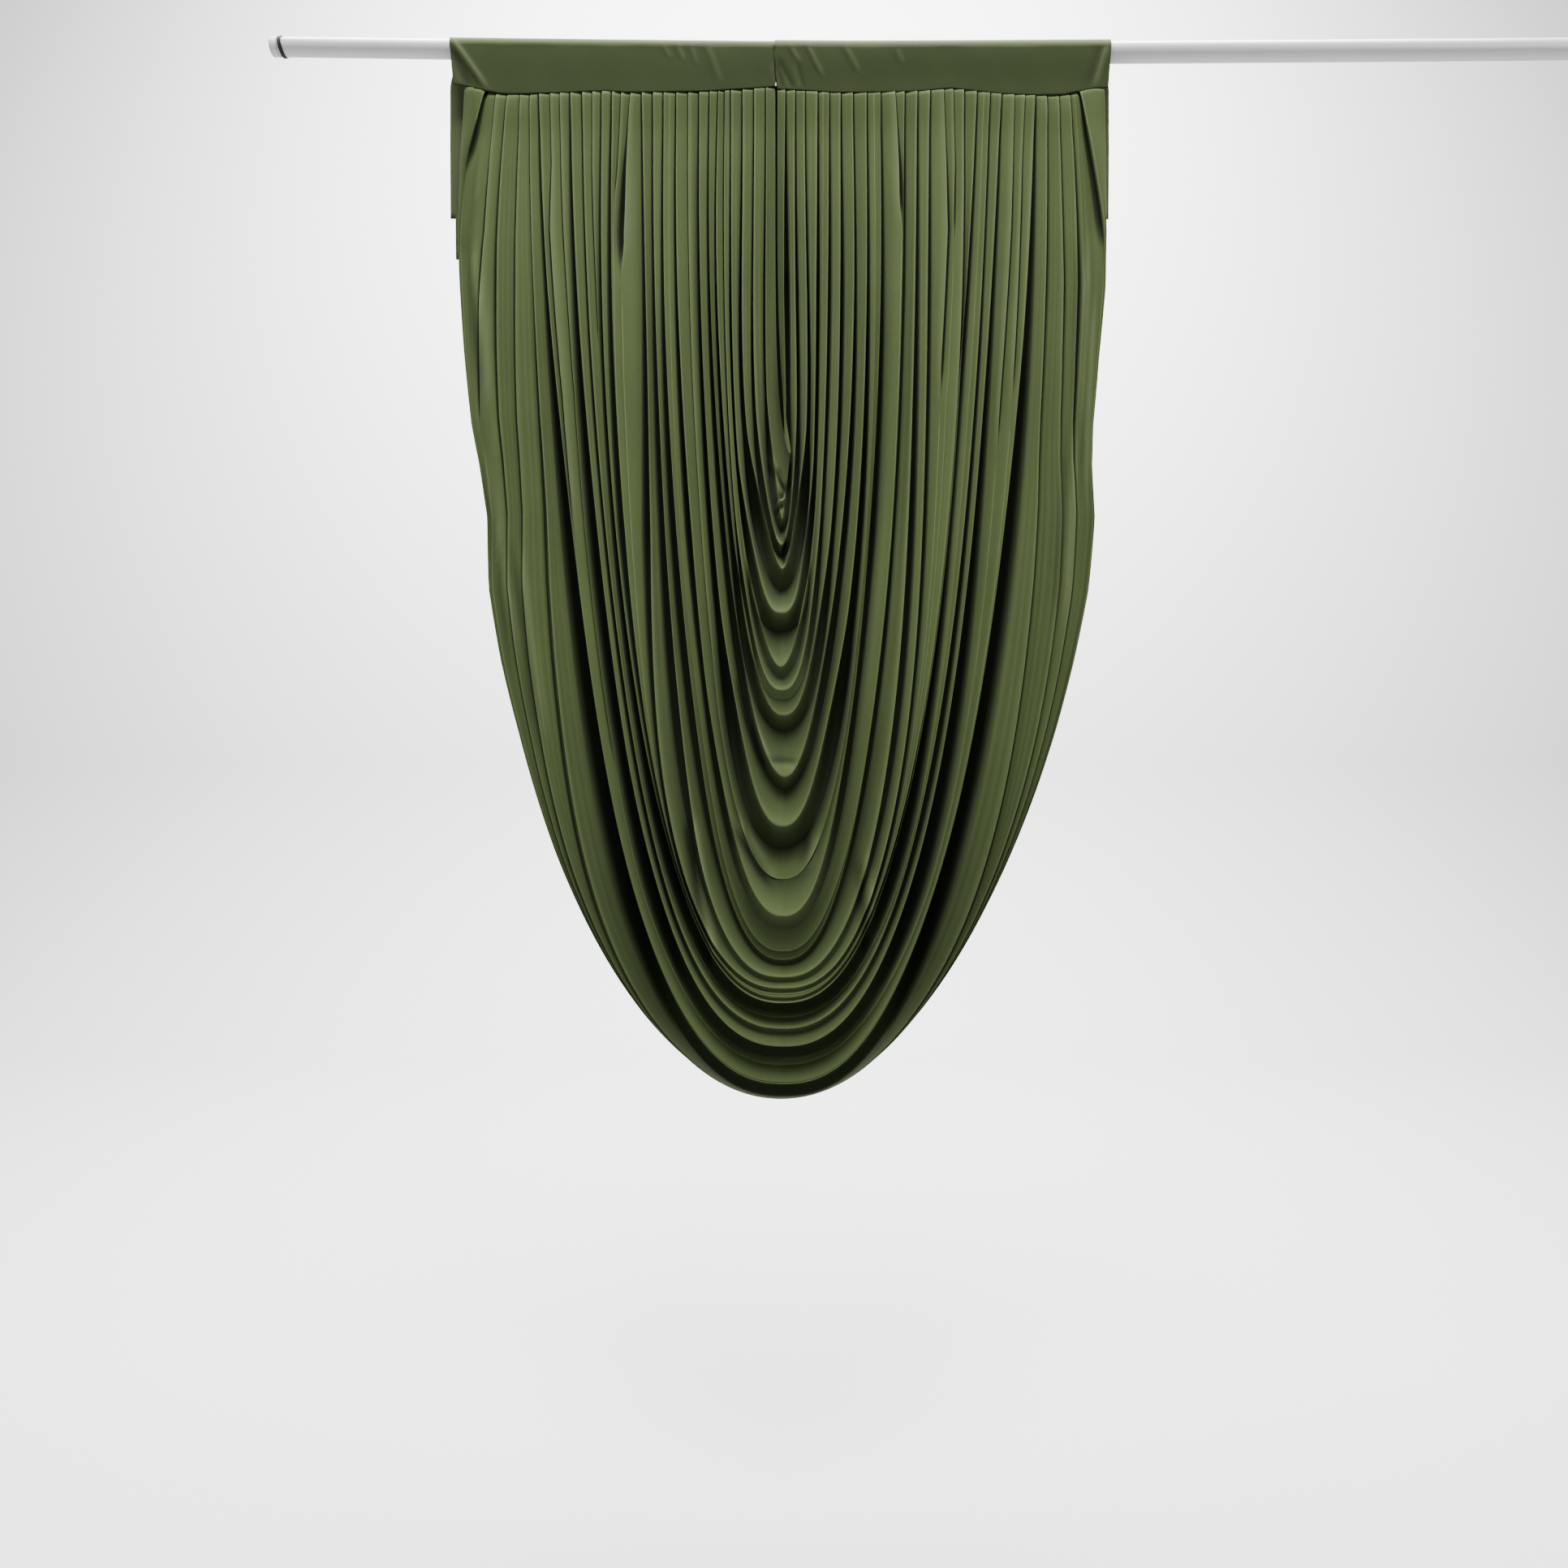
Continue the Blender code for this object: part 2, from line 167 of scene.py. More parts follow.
ROD_LENGTH = 3.000
ROD_OVERHANG = 0.0425
THIN_TUBE_RADIUS = 0.0176
THICK_TUBE_RADIUS = 0.0195
TUBE_JOINT_X = 0.9700
ROD_SAG = 0.0135
ROD_LOW_X = 1.1420
SAG_POWER = 1.3
SAG_PITCH = 0.125
CAP_LENGTH = 0.0145
FIT_GAP = 0.0003
TUBE_SIDES = 72
TUBE_PITCH = 0.02
ENAMEL_COLOUR = (0.75, 0.75, 0.75, 1.0)
ENAMEL_WORN = (0.71, 0.71, 0.705, 1.0)
GRAIN_STRENGTH = 0.4


def lerp(low, high, share):
    return low + (high - low) * share


def smooth(value):
    value = np.clip(value, 0.0, 1.0)
    return value * value * (3.0 - 2.0 * value)


def sag(x):
    """How far the rod hangs below its ends."""
    reach = np.where(x < ROD_LOW_X, ROD_LOW_X, ROD_LENGTH - ROD_OVERHANG - ROD_LOW_X)
    share = np.minimum(np.abs(x - ROD_LOW_X) / reach, 1.0)
    return -ROD_SAG * (1.0 - share ** SAG_POWER)


def rod_height(x):
    """The rod's axis, which bends in short straight lengths."""
    station = np.floor(x / SAG_PITCH)
    return lerp(sag(station * SAG_PITCH), sag((station + 1) * SAG_PITCH), x / SAG_PITCH - station)


def grid_piece(name, points, close_rows=False, caps=False):
    """A mesh through a rows x columns x 3 array of points."""
    rows, columns = points.shape[:2]
    faces = []
    last = columns if close_rows else columns - 1
    for row in range(rows - 1):
        for column in range(last):
            after = (column + 1) % columns
            faces.append((row * columns + column, row * columns + after,
                          (row + 1) * columns + after, (row + 1) * columns + column))
    if caps:
        faces.append(tuple(reversed(range(columns))))
        faces.append(tuple(range((rows - 1) * columns, rows * columns)))
    mesh = bpy.data.meshes.new(name)
    mesh.from_pydata(points.reshape(-1, 3).tolist(), [], faces)
    mesh.shade_smooth()
    mesh.update()
    return set_up(name, mesh)


def maths(tree, operation, *sources):
    """The output of a Math node, from numbers and outputs of other nodes."""
    node = tree.nodes.new("ShaderNodeMath")
    node.operation = operation
    for socket, source in zip(node.inputs, sources):
        if isinstance(source, float):
            socket.default_value = source
        else:
            tree.links.new(source, socket)
    return node.outputs["Value"]


def node_group(name, inputs, outputs):
    """A shader node group from its inputs' usual values and its outputs' names."""
    group = bpy.data.node_groups.new(name, "ShaderNodeTree")
    for label, value in inputs.items():
        kind = "NodeSocketColor" if isinstance(value, tuple) else "NodeSocketFloat"
        socket = group.interface.new_socket(label, in_out="INPUT", socket_type=kind)
        socket.default_value = value
    for label in outputs:
        kind = "NodeSocketColor" if label == "Colour" else "NodeSocketFloat"
        group.interface.new_socket(label, in_out="OUTPUT", socket_type=kind)
    given = group.nodes.new("NodeGroupInput").outputs
    return group, given, group.nodes.new("NodeGroupOutput")


def dress(tree, shader, look, colour, relief, strength):
    """Gives a shader its colour, and the roughness and fine relief of a group's look."""
    bump = shader_node(tree, "Bump", Height=look["Height"], Distance=relief, Strength=strength)
    set_node(tree, shader, Base_Color=colour, Roughness=look["Roughness"], Normal=bump["Normal"])


# Mottle: soft cloudy patches between two colours, used in the enamel, the plastic and the rubber.
mottle, given, mottle_out = node_group(
    "mottle",
    {"Colour": (0.8, 0.8, 0.8, 1.0), "Worn Colour": (0.7, 0.7, 0.7, 1.0), "Patch Scale": 30.0,
     "Grain Scale": 900.0, "Roughness": 0.4, "Roughness Spread": 0.1},
    ("Colour", "Roughness", "Height"))
place = shader_node(mottle, "TexCoord")["Object"]
patches = shader_node(mottle, "TexNoise", Vector=place, Scale=given["Patch Scale"])["Fac"]
grain = shader_node(mottle, "TexNoise", Vector=place, Scale=given["Grain Scale"])["Fac"]
uneven = maths(mottle, "MULTIPLY_ADD", patches, given["Roughness Spread"], given["Roughness"])
set_node(mottle, mottle_out, Roughness=uneven, Height=grain,
         Colour=mixed(mottle, patches, given["Colour"], given["Worn Colour"]))


def mottled(name, colour, worn, relief, patch, grain, rough, rough_spread, **values):
    """A plain hard or rubbery finish with mottled colour and a fine grain."""
    finish, tree, shader = surface(name, Roughness=rough, **values)
    look = shader_node(tree, "Group", node_tree=mottle, Colour=colour, Worn_Colour=worn,
                       Patch_Scale=patch, Grain_Scale=grain, Roughness=rough,
                       Roughness_Spread=rough_spread)
    dress(tree, shader, look, look["Colour"], relief, GRAIN_STRENGTH)
    return finish


def sagging_tube(name, x_start, x_end, radius, finish):
    """A round tube along the rod's bent axis, with closed ends."""
    stations = np.linspace(x_start, x_end, int((x_end - x_start) / TUBE_PITCH) + 1)
    turn = np.linspace(0.0, 2 * math.pi, TUBE_SIDES, endpoint=False)
    x = np.repeat(stations[:, None], TUBE_SIDES, axis=1)
    y = radius * np.sin(turn)[None, :] + 0.0 * x
    z = rod_height(stations)[:, None] + radius * np.cos(turn)[None, :]
    tube = grid_piece(name, np.stack((x, y, z), axis=2), close_rows=True, caps=True)
    tube.data.materials.append(finish)
    return tube


enamel = mottled("white_enamel", ENAMEL_COLOUR, ENAMEL_WORN, relief=0.00008, patch=9.0,
                 grain=700.0, rough=0.34, rough_spread=0.10, Coat_Weight=1.0, Coat_Roughness=0.30,
                 Specular_IOR_Level=0.9)
rod_start = -ROD_OVERHANG + CAP_LENGTH + FIT_GAP
rod_end = ROD_LENGTH - ROD_OVERHANG - CAP_LENGTH - FIT_GAP
for node, start, end, radius in (
        ("rod_thin_tube", rod_start, TUBE_JOINT_X, THIN_TUBE_RADIUS),
        ("rod_thick_tube", TUBE_JOINT_X + FIT_GAP, rod_end, THICK_TUBE_RADIUS)):
    tube = sagging_tube(node + "_enamelled", start, end, radius, enamel)
    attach(tube, "root")
    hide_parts(node)

# ----------
# End caps and ring: a moulded white plastic plug closes each end of the rod, and a black rubber
# ring sits askew on the thin tube, just inside the left plug.

CAP_EDGE = 0.0030
CAP_EDGE_STEPS = 8
CAP_DISH = 0.0006
CAP_DISH_EDGE = 0.55
CAP_GROOVE = 0.0006
CAP_GROOVE_FLANKS = (0.0040, 0.0034, 0.0024, 0.0018)
CAP_SEAT_EDGE = 0.0002
CAP_SIDES = 96
MERGE_WITHIN = 0.00002
RING_WIDTH = 0.0070
RING_WALL = 0.0012
RING_CLEARANCE = 0.0007
RING_LEAN = math.radians(7.0)
RING_X = -0.0205
RING_STEPS = 24
PLASTIC_COLOUR = (0.80, 0.80, 0.79, 1.0)
PLASTIC_WORN = (0.72, 0.72, 0.70, 1.0)
RUBBER_COLOUR = (0.010, 0.010, 0.010, 1.0)
RUBBER_WORN = (0.022, 0.022, 0.021, 1.0)


def turned(name, profile, place, pitch, finish):
    """A solid turned about its own Z from (radius, height) pairs, then laid over by a pitch."""
    turn = np.linspace(0.0, 2 * math.pi, CAP_SIDES, endpoint=False)
    radius = np.array([r for r, h in profile])[:, None]
    height = np.array([h for r, h in profile])[:, None] + 0.0 * turn[None, :]
    points = np.stack((radius * np.cos(turn), radius * np.sin(turn), height), axis=2)
    solid = grid_piece(name, points, close_rows=True)
    solid.location = place
    solid.rotation_euler = (0.0, pitch, 0.0)
    solid.data.materials.append(finish)
    made = bmesh.new()
    made.from_mesh(solid.data)
    bmesh.ops.remove_doubles(made, verts=made.verts, dist=MERGE_WITHIN)
    bmesh.ops.recalc_face_normals(made, faces=made.faces)
    made.to_mesh(solid.data)
    made.free()
    solid.data.shade_smooth()
    return solid


def cap_profile(radius):
    """The plug's outline: a shallow dish, a round edge, a groove at the shoulder, a flat seat."""
    outline = [(0.0, CAP_LENGTH - CAP_DISH),
               (CAP_DISH_EDGE * radius, CAP_LENGTH - 0.6 * CAP_DISH)]
    for step in range(CAP_EDGE_STEPS + 1):
        turn = math.pi / 2 * step / CAP_EDGE_STEPS
        outline.append((radius - CAP_EDGE * (1 - math.sin(turn)),
                        CAP_LENGTH - CAP_EDGE * (1 - math.cos(turn))))
    for depth, height in zip((0.0, CAP_GROOVE, CAP_GROOVE, 0.0), CAP_GROOVE_FLANKS):
        outline.append((radius - depth, height))
    return outline + [(radius, CAP_SEAT_EDGE), (radius - CAP_SEAT_EDGE, 0.0), (0.0, 0.0)]


plastic = mottled("white_plastic", PLASTIC_COLOUR, PLASTIC_WORN, relief=0.00006, patch=60.0,
                  grain=1500.0, rough=0.42, rough_spread=0.12)
rubber = mottled("black_rubber", RUBBER_COLOUR, RUBBER_WORN, relief=0.00010, patch=80.0,
                 grain=2500.0, rough=0.75, rough_spread=0.15)
for node, face_x, side, radius in (
        ("end_cap_left", -ROD_OVERHANG, -1, THIN_TUBE_RADIUS),
        ("end_cap_right", ROD_LENGTH - ROD_OVERHANG, 1, THICK_TUBE_RADIUS)):
    cap = turned(node + "_plug", cap_profile(radius), (face_x - side * CAP_LENGTH, 0.0, 0.0),
                 side * math.pi / 2, plastic)
    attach(cap, "root")
    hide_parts(node)

ring_inner = THIN_TUBE_RADIUS + RING_CLEARANCE
ring_outline = []
for step in range(RING_STEPS + 1):
    turn = 2 * math.pi * step / RING_STEPS
    squared = [math.copysign(abs(v) ** 0.5, v) for v in (math.cos(turn), math.sin(turn))]
    ring_outline.append((ring_inner + RING_WALL * (1 + squared[0]) / 2,
                         squared[1] * RING_WIDTH / 2))
rubber_band = turned("rubber_ring_moulded", ring_outline,
                     (RING_X, 0.0, float(rod_height(np.float64(RING_X)))),
                     math.pi / 2 - RING_LEAN, rubber)
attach(rubber_band, "root")
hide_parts("rubber_ring")

# ----------
# Header bands: two strips of matte stretch cloth folded over the rod, a short panel in front and
# a longer flap behind.  The panel's lower edge is sewn over the top of the pleats.

CLOTH = 0.0016
CLOTH_TO_ROD = 0.0012
NOTCH_WIDTH = 0.0090
NOTCH_CUT = 0.0006
NOTCH_DROP = 0.3340
BAND_COLUMNS = 230
PANEL_ROWS = 34
WRAP_ROWS = 22
FLAP_ROWS = 26
PANEL_BELLY = 0.0009
PANEL_SWAYS = ((0.0003, 23.0, 2.0), (0.0002, 61.0, -3.0))
PANEL_FOOT_REACH = 0.0177
LEAN_REACH = 0.03
WRAP_SLACK = 0.0006
FLAP_GAP = 0.0008
FLAP_RIPPLE = 0.0025
FLAP_RIPPLE_TURNS = 19.0
FLARE_REACH = 0.08
MEET_REACH = 0.012
MEET_ROLL = 0.0030
MEET_ROLL_WIDTH = 0.0016
MEET_COLUMNS = (0.0004, 0.0009, 0.0015, 0.0022, 0.0034)
# Painted light on the bands: painted highlight along the top, on raised pulls, along the left
# band's meeting edge and over the flap, which lies in shade; painted shade in the pulls' troughs
# and along the right band's meeting edge.
JOIN_WIDTH = 0.0020
JOIN_PALE = 0.5
TOP_PALE = 0.6
PULL_PALE = 0.35
PULL_PALE_HEIGHT = 0.005
PULL_SHADE = 0.4
PULL_SHADE_DEPTH = 0.004
FLAP_PALE = 0.35
FLAP_PALE_REACH = 0.06
FLAP_PAINTED_LIGHT = 0.15

# The light colour is painted highlight.  The doubled colour and its darker tone are this cloth
# painted darker for the bands: painted shade for two layers that let less light through.  The deep
# colour is painted shade, near black, for slits and recesses.
CLOTH_COLOUR = (0.086, 0.117, 0.042, 1.0)
CLOTH_SHADE = (0.058, 0.083, 0.027, 1.0)
CLOTH_LIGHT = (0.200, 0.245, 0.120, 1.0)
CLOTH_DOUBLED_SHADED = (0.037, 0.051, 0.016, 1.0)
BAND_SHADE = (0.028, 0.041, 0.012, 1.0)
CLOTH_DEEP = (0.003, 0.004, 0.002, 1.0)
SHEEN_TINT = (0.75, 0.85, 0.60, 1.0)
LOOPS_PER_METRE = 900.0
WALE_TURN = 3.1416
COURSE_TURN = 2.2
COURSE_HEIGHT = 0.5
CLOUD_SCALE = 6.0
FUZZ_SCALE = 420.0
DEEPEST_SHADE = 0.97
KNIT_RELIEF = 0.0003
KNIT_STRENGTH = 0.5

# Each of these turns a noise from 0 to 1 into a share: how much of it counts, and what is added.
CLOUD_SHARE = (0.9, -0.1)
SPECK_SHARE = (0.60, -0.15)
ROUGHNESS_SHARE = (0.12, 0.78)

# The lean moves a panel's outer edge outward at its top and foot; meet_top and meet_foot move the
# edge where the two bands meet along the rod, and flare spreads the flap's outer edge.
Band = namedtuple("Band", "name x_min x_max tube_radius outer_side flap_drop lean_top lean_foot "
                          "meet_top meet_foot flare")
BANDS = (
    Band("header_band_left", 0.3240, 0.9686, THIN_TUBE_RADIUS, -1, 0.4170, 0.003, -0.004,
         0.0004, 0.0030, 0.0137),
    Band("header_band_right", 0.9712, 1.6390, THICK_TUBE_RADIUS, 1, 0.4340, 0.002, -0.003,
         -0.0019, 0.0030, 0.0100),
)

# The seam along the panels' lower edges, in millimetres: x, and how far it lies below the rod.
SEAM_X, SEAM_DROPS = np.array((
    (324, 86), (358, 90), (391, 98.5), (425, 104.5), (465, 105.2), (540, 103.2),
    (632, 99), (672, 102), (820, 100.5), (925, 94), (969.5, 90), (971, 95.6),
    (1038, 98.8), (1090, 103), (1178, 102), (1270, 98.8), (1322, 94), (1351, 97.2),
    (1420, 104.8), (1490, 107.6), (1547, 106.4), (1575, 100.5), (1611, 95), (1640, 92.5))).T / 1000

# Pulls and creases in the front panels: a soft ridge from one point to another, in millimetres.
# The trough beside it is measured in its own heights and widths.
TROUGH_DEPTH = 0.45
TROUGH_PLACE = 1.9
TROUGH_WIDTH = 1.5
Pull = namedtuple("Pull", "x_top drop_top x_foot drop_foot width height")
PULLS = [Pull(*(size / 1000 for size in sizes)) for sizes in (
    (331, 4, 390, 88, 6, 3),
    (330, 30, 356, 86, 7, -2.2),
    (750, 12, 761, 34, 4.5, 0.8),
    (777, 10, 788, 38, 4.5, 1.2),
    (803, 12, 815, 46, 4.5, 0.8),
    (837, 14, 862, 80, 6, 1),
    (980.9, 42, 1008.5, 95, 5, -1.6),
    (1003.1, 15, 1019.2, 42, 4.2, 1.4),
    (1037, 15, 1065.6, 69, 4.2, 1.5),
    (1016.9, 52, 1029.7, 95, 4.2, -1.2),
    (1113, 17, 1138, 62, 5, 1.2),
    (1215, 22, 1226, 46, 5, 1),
    (1631, 13, 1610, 92, 6.5, 2),
    (976, 50, 986, 92, 5, -1.5),
)]


def seam_height(x):
    return -np.interp(x, SEAM_X, SEAM_DROPS)


def ridge(x, z, pull):
    """Height of a soft ridge along a line, with a shallow trough beside it."""
    along_x, along_z = pull.x_foot - pull.x_top, pull.drop_top - pull.drop_foot
    length = math.hypot(along_x, along_z)
    from_x, from_z = x - pull.x_top, z + pull.drop_top
    along = (from_x * along_x + from_z * along_z) / length ** 2
    across = (from_x * along_z - from_z * along_x) / length / pull.width
    ends = smooth((along + 0.25) / 0.4) * smooth((1.25 - along) / 0.5)
    trough = np.exp(-((across - TROUGH_PLACE) / TROUGH_WIDTH) ** 2)
    return pull.height * ends * (np.exp(-across ** 2) - TROUGH_DEPTH * trough)


def band_points(band):
    """Rows from the front panel's lower edge, up and over the rod, and down the flap."""
    outer_edge, meeting_edge = (band.x_min, band.x_max)[::-band.outer_side]
    notch = outer_edge - band.outer_side * NOTCH_WIDTH
    extra = [notch, notch - band.outer_side * NOTCH_CUT]
    extra += [meeting_edge + band.outer_side * inset for inset in MEET_COLUMNS]
    x = np.sort(np.concatenate((np.linspace(band.x_min, band.x_max, BAND_COLUMNS), extra)))
    from_edge = np.abs(x - outer_edge)
    from_meeting = np.abs(x - meeting_edge)
    outward = band.outer_side * np.exp(-from_edge / LEAN_REACH)
    near_meeting = np.exp(-from_meeting / MEET_REACH)
    roll = MEET_ROLL * np.exp(-from_meeting / MEET_ROLL_WIDTH)
    axis = rod_height(x)
    bottom = seam_height(x)
    wrap = band.tube_radius + CLOTH_TO_ROD + CLOTH / 2
    drop = np.where(from_edge < NOTCH_WIDTH + NOTCH_CUT / 2, NOTCH_DROP, band.flap_drop)
    # Painted highlight along the left band's meeting edge, painted shade in the groove along the
    # right band's.
    join_pale = smooth((JOIN_WIDTH - from_meeting) / JOIN_WIDTH) * (band.outer_side < 0)
    join_shade = smooth((1.6 * JOIN_WIDTH - from_meeting) / JOIN_WIDTH) * (band.outer_side > 0)
    rows, highlight_rows, joins = [], [], []
    for step in range(PANEL_ROWS):
        down = 1.0 - step / PANEL_ROWS
        z = lerp(axis, bottom, down)
        puff = sum(ridge(x, z, pull) for pull in PULLS) * smooth(step / 3.0 + 0.4)
        sway = sum(height * np.sin(turns * x + slant * down)
                   for height, turns, slant in PANEL_SWAYS)
        belly = PANEL_BELLY * math.sin(math.pi * down)
        reach = lerp(wrap, np.minimum(wrap, PANEL_FOOT_REACH), smooth(down * 1.2))
        meet = lerp(band.meet_top, band.meet_foot, smooth((down - 0.55) / 0.45))
        lean = outward * lerp(band.lean_top, band.lean_foot, down) + near_meeting * meet
        rows.append((x + lean, -reach - belly - puff - sway + roll, z))
        # Painted highlight on raised pulls and along the panel's top, painted shade in the pulls'
        # troughs and at the join.
        highlight_rows.append(np.clip(puff / PULL_PALE_HEIGHT, 0.0, PULL_PALE)
                    + TOP_PALE * smooth((0.05 - down) / 0.06)
                    + JOIN_PALE * join_pale * smooth((down - 0.2) / 0.3))
        joins.append(join_shade * smooth((down - 0.15) / 0.25)
                     + np.clip(-puff / PULL_SHADE_DEPTH, 0.0, PULL_SHADE))
    for step in range(WRAP_ROWS + 1):
        turn = math.pi * step / WRAP_ROWS
        z = axis + wrap * math.sin(turn)
        in_front = max(math.cos(turn), 0.0)
        puff = sum(ridge(x, z, pull) for pull in PULLS) * in_front
        out = wrap + np.maximum(puff, 0.0) + WRAP_SLACK * in_front
        lean = outward * band.lean_top + near_meeting * band.meet_top
        rows.append((x + lean, -out * math.cos(turn), axis + out * math.sin(turn)))
        # Painted highlight where the cloth turns up over the rod.
        pale = TOP_PALE * float(smooth((math.pi * 0.6 - turn) / 0.6))
        highlight_rows.append(np.full(x.shape, pale))
    for step in range(1, FLAP_ROWS + 1):
        share = step / FLAP_ROWS
        meet = lerp(band.meet_top, band.meet_foot, float(smooth(share * 8.0)))
        spread = np.exp(-from_edge / FLARE_REACH)
        flare = band.outer_side * band.flare * spread * smooth(share * 5.0) + near_meeting * meet
        ripple = FLAP_RIPPLE * share * np.sin(FLAP_RIPPLE_TURNS * x + 1.7) * np.cos(3.0 * share)
        rows.append((x + flare, wrap + FLAP_GAP + np.abs(ripple), lerp(axis, -drop, share)))
        # Painted light over the flap, which lies in shade, strongest near its outer edge and its
        # top.
        highlight_rows.append(FLAP_PAINTED_LIGHT + FLAP_PALE * np.exp(-(from_edge / FLAP_PALE_REACH) ** 2)
                    * (2.0 - smooth(share * 2.0)))
    joins += [np.zeros(x.shape)] * (len(rows) - len(joins))
    return np.stack([np.stack(row, axis=1) for row in rows]), np.stack(highlight_rows), np.stack(joins)


# Knit cloth: fine loops in rows and columns, cloudy shade, painted highlights where folds' edges
# and other marked places catch the light, and painted shade from a mark of its own.
knit, given, knit_out = node_group(
    "knit_cloth",
    {"Colour": CLOTH_COLOUR, "Shade": CLOTH_SHADE, "Rubbed": CLOTH_LIGHT,
     "Loops per Metre": LOOPS_PER_METRE, "Edge Light": 0.6, "Doubled": 0.0},
    ("Colour", "Roughness", "Height", "Depth"))


def loop_height(along, turns):
    """How high the loops stand, along one direction of the knit."""
    count = maths(knit, "MULTIPLY", given["Loops per Metre"], along)
    return maths(knit, "ABSOLUTE", maths(knit, "SINE", maths(knit, "MULTIPLY", count, turns)))


def marked(label, strength):
    """How strongly a mark that is stored in the cloth's points counts."""
    stored = shader_node(knit, "Attribute", attribute_name=label)["Fac"]
    return maths(knit, "MULTIPLY", stored, strength)


place = shader_node(knit, "TexCoord")["Object"]
along = shader_node(knit, "SeparateXYZ", Vector=place)
wale = loop_height(along["X"], WALE_TURN)
course = loop_height(along["Z"], COURSE_TURN)
raised = maths(knit, "MULTIPLY", course, COURSE_HEIGHT)
loops = maths(knit, "MULTIPLY", wale, maths(knit, "ADD", raised, 1.0 - COURSE_HEIGHT))
cloud = shader_node(knit, "TexNoise", Vector=place, Scale=CLOUD_SCALE, Detail=4.0)["Fac"]
fuzz = shader_node(knit, "TexNoise", Vector=place, Scale=FUZZ_SCALE, Detail=2.0)["Fac"]
# Random cloudy and speckled tone, then painted highlight where marked, then painted shade where
# the cloth lies doubled.
look = given["Colour"]
for amount, colour in ((maths(knit, "MULTIPLY_ADD", cloud, *CLOUD_SHARE), given["Shade"]),
                       (maths(knit, "MULTIPLY_ADD", fuzz, *SPECK_SHARE), given["Shade"]),
                       (marked("fold_edge", given["Edge Light"]), given["Rubbed"]),
                       (marked("doubled_shade", given["Doubled"]), given["Shade"])):
    look = mixed(knit, amount, look, colour)
# Depth is painted shade: how far the colour is painted towards near black in slits, pockets,
# creases, under lips and along joins.
set_node(knit, knit_out, Colour=look, Depth=marked("painted_shade", DEEPEST_SHADE),
         Roughness=maths(knit, "MULTIPLY_ADD", fuzz, *ROUGHNESS_SHARE),
         Height=maths(knit, "ADD", loops, fuzz))


def knit_finish(name, colour, shade, edge_light, doubled_shade):
    """The drape's stretch cloth.  The insides of its pleats and other marked places get painted
    shade, seen from the front only.
    """
    finish, tree, shader = surface(name, Roughness=0.85, Specular_IOR_Level=0.15,
                                   Sheen_Weight=0.06, Sheen_Roughness=0.45, Sheen_Tint=SHEEN_TINT)
    look = shader_node(tree, "Group", node_tree=knit, Colour=colour, Shade=shade,
                       Edge_Light=edge_light, Doubled=doubled_shade)
    from_behind = shader_node(tree, "NewGeometry")["Backfacing"]
    in_slit = maths(tree, "MULTIPLY", look["Depth"], maths(tree, "SUBTRACT", 1.0, from_behind))
    dress(tree, shader, look, mixed(tree, in_slit, look["Colour"], CLOTH_DEEP), KNIT_RELIEF,
         KNIT_STRENGTH)
    return finish


def mark_points(piece, label, values):
    """Stores one number for each point of a piece, which the cloth's shader reads."""
    layer = piece.data.attributes.new(label, "FLOAT", "POINT")
    layer.data.foreach_set("value", np.asarray(values, dtype=np.float32).reshape(-1))


def thicken(piece):
    """Gives a sheet the cloth's thickness, half to each side, as real faces."""
    solidify = piece.modifiers.new("cloth", "SOLIDIFY")
    solidify.thickness = CLOTH
    solidify.offset = 0.0
    solidify.use_even_offset = False
    solidify.use_rim = True


# The bands' cloth is painted darker than the swag's: painted shade for their two layers, which let
# less light through.
band_cloth = knit_finish("olive_band_cloth", CLOTH_DOUBLED_SHADED, BAND_SHADE, edge_light=0.5,
                         doubled_shade=0.0)
for band in BANDS:
    band_grid, highlit_places, join_line = band_points(band)
    folded = grid_piece(band.name + "_folded", band_grid)
    # Painted highlight and painted shade, stored in the band's points.
    mark_points(folded, "fold_edge", highlit_places)
    mark_points(folded, "painted_shade", join_line)
    folded.data.materials.append(band_cloth)
    thicken(folded)
    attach(folded, "root")
    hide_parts(band.name)

# ----------
# Swag: one long cloth of the same stretch knit, knife-pleated under both bands.  Each pleat opens
# into a fold that hangs as a U, the inner ones short and the outer ones down to the hem.

SWAG_CENTRE_X = 0.9820
SWAG_MIDDLE_Z = -1.4800
SEAM_LAP = 0.0120
SLOT_RISE = 0.0140
SEAM_REACH_LEFT = 0.0112
SEAM_REACH_RIGHT = 0.0126
SEAM_RELIEF = 0.0055
SEAM_SLIT = 0.0015
SLIT_DROPS = (0.10, 0.50, 1.00, 1.50)
OPENING_DEPTH = 0.30
SWAG_ROWS = 241
SWAG_COLUMNS = 381
SEAM_ROWS = (0.0, 0.003, 0.0055, 0.008, 0.0105, 0.013, 0.0165, 0.021, 0.027, 0.035, 0.043)
FIRST_ROW = 0.052
SEAM_PUFF = 0.0055
PUFF_RISE = 0.0045
PUFF_FALL = 0.090
VIEW_DEPTH = 2.2
LIP_RADIUS = 0.0011
FACE_RIPPLE = 0.0020
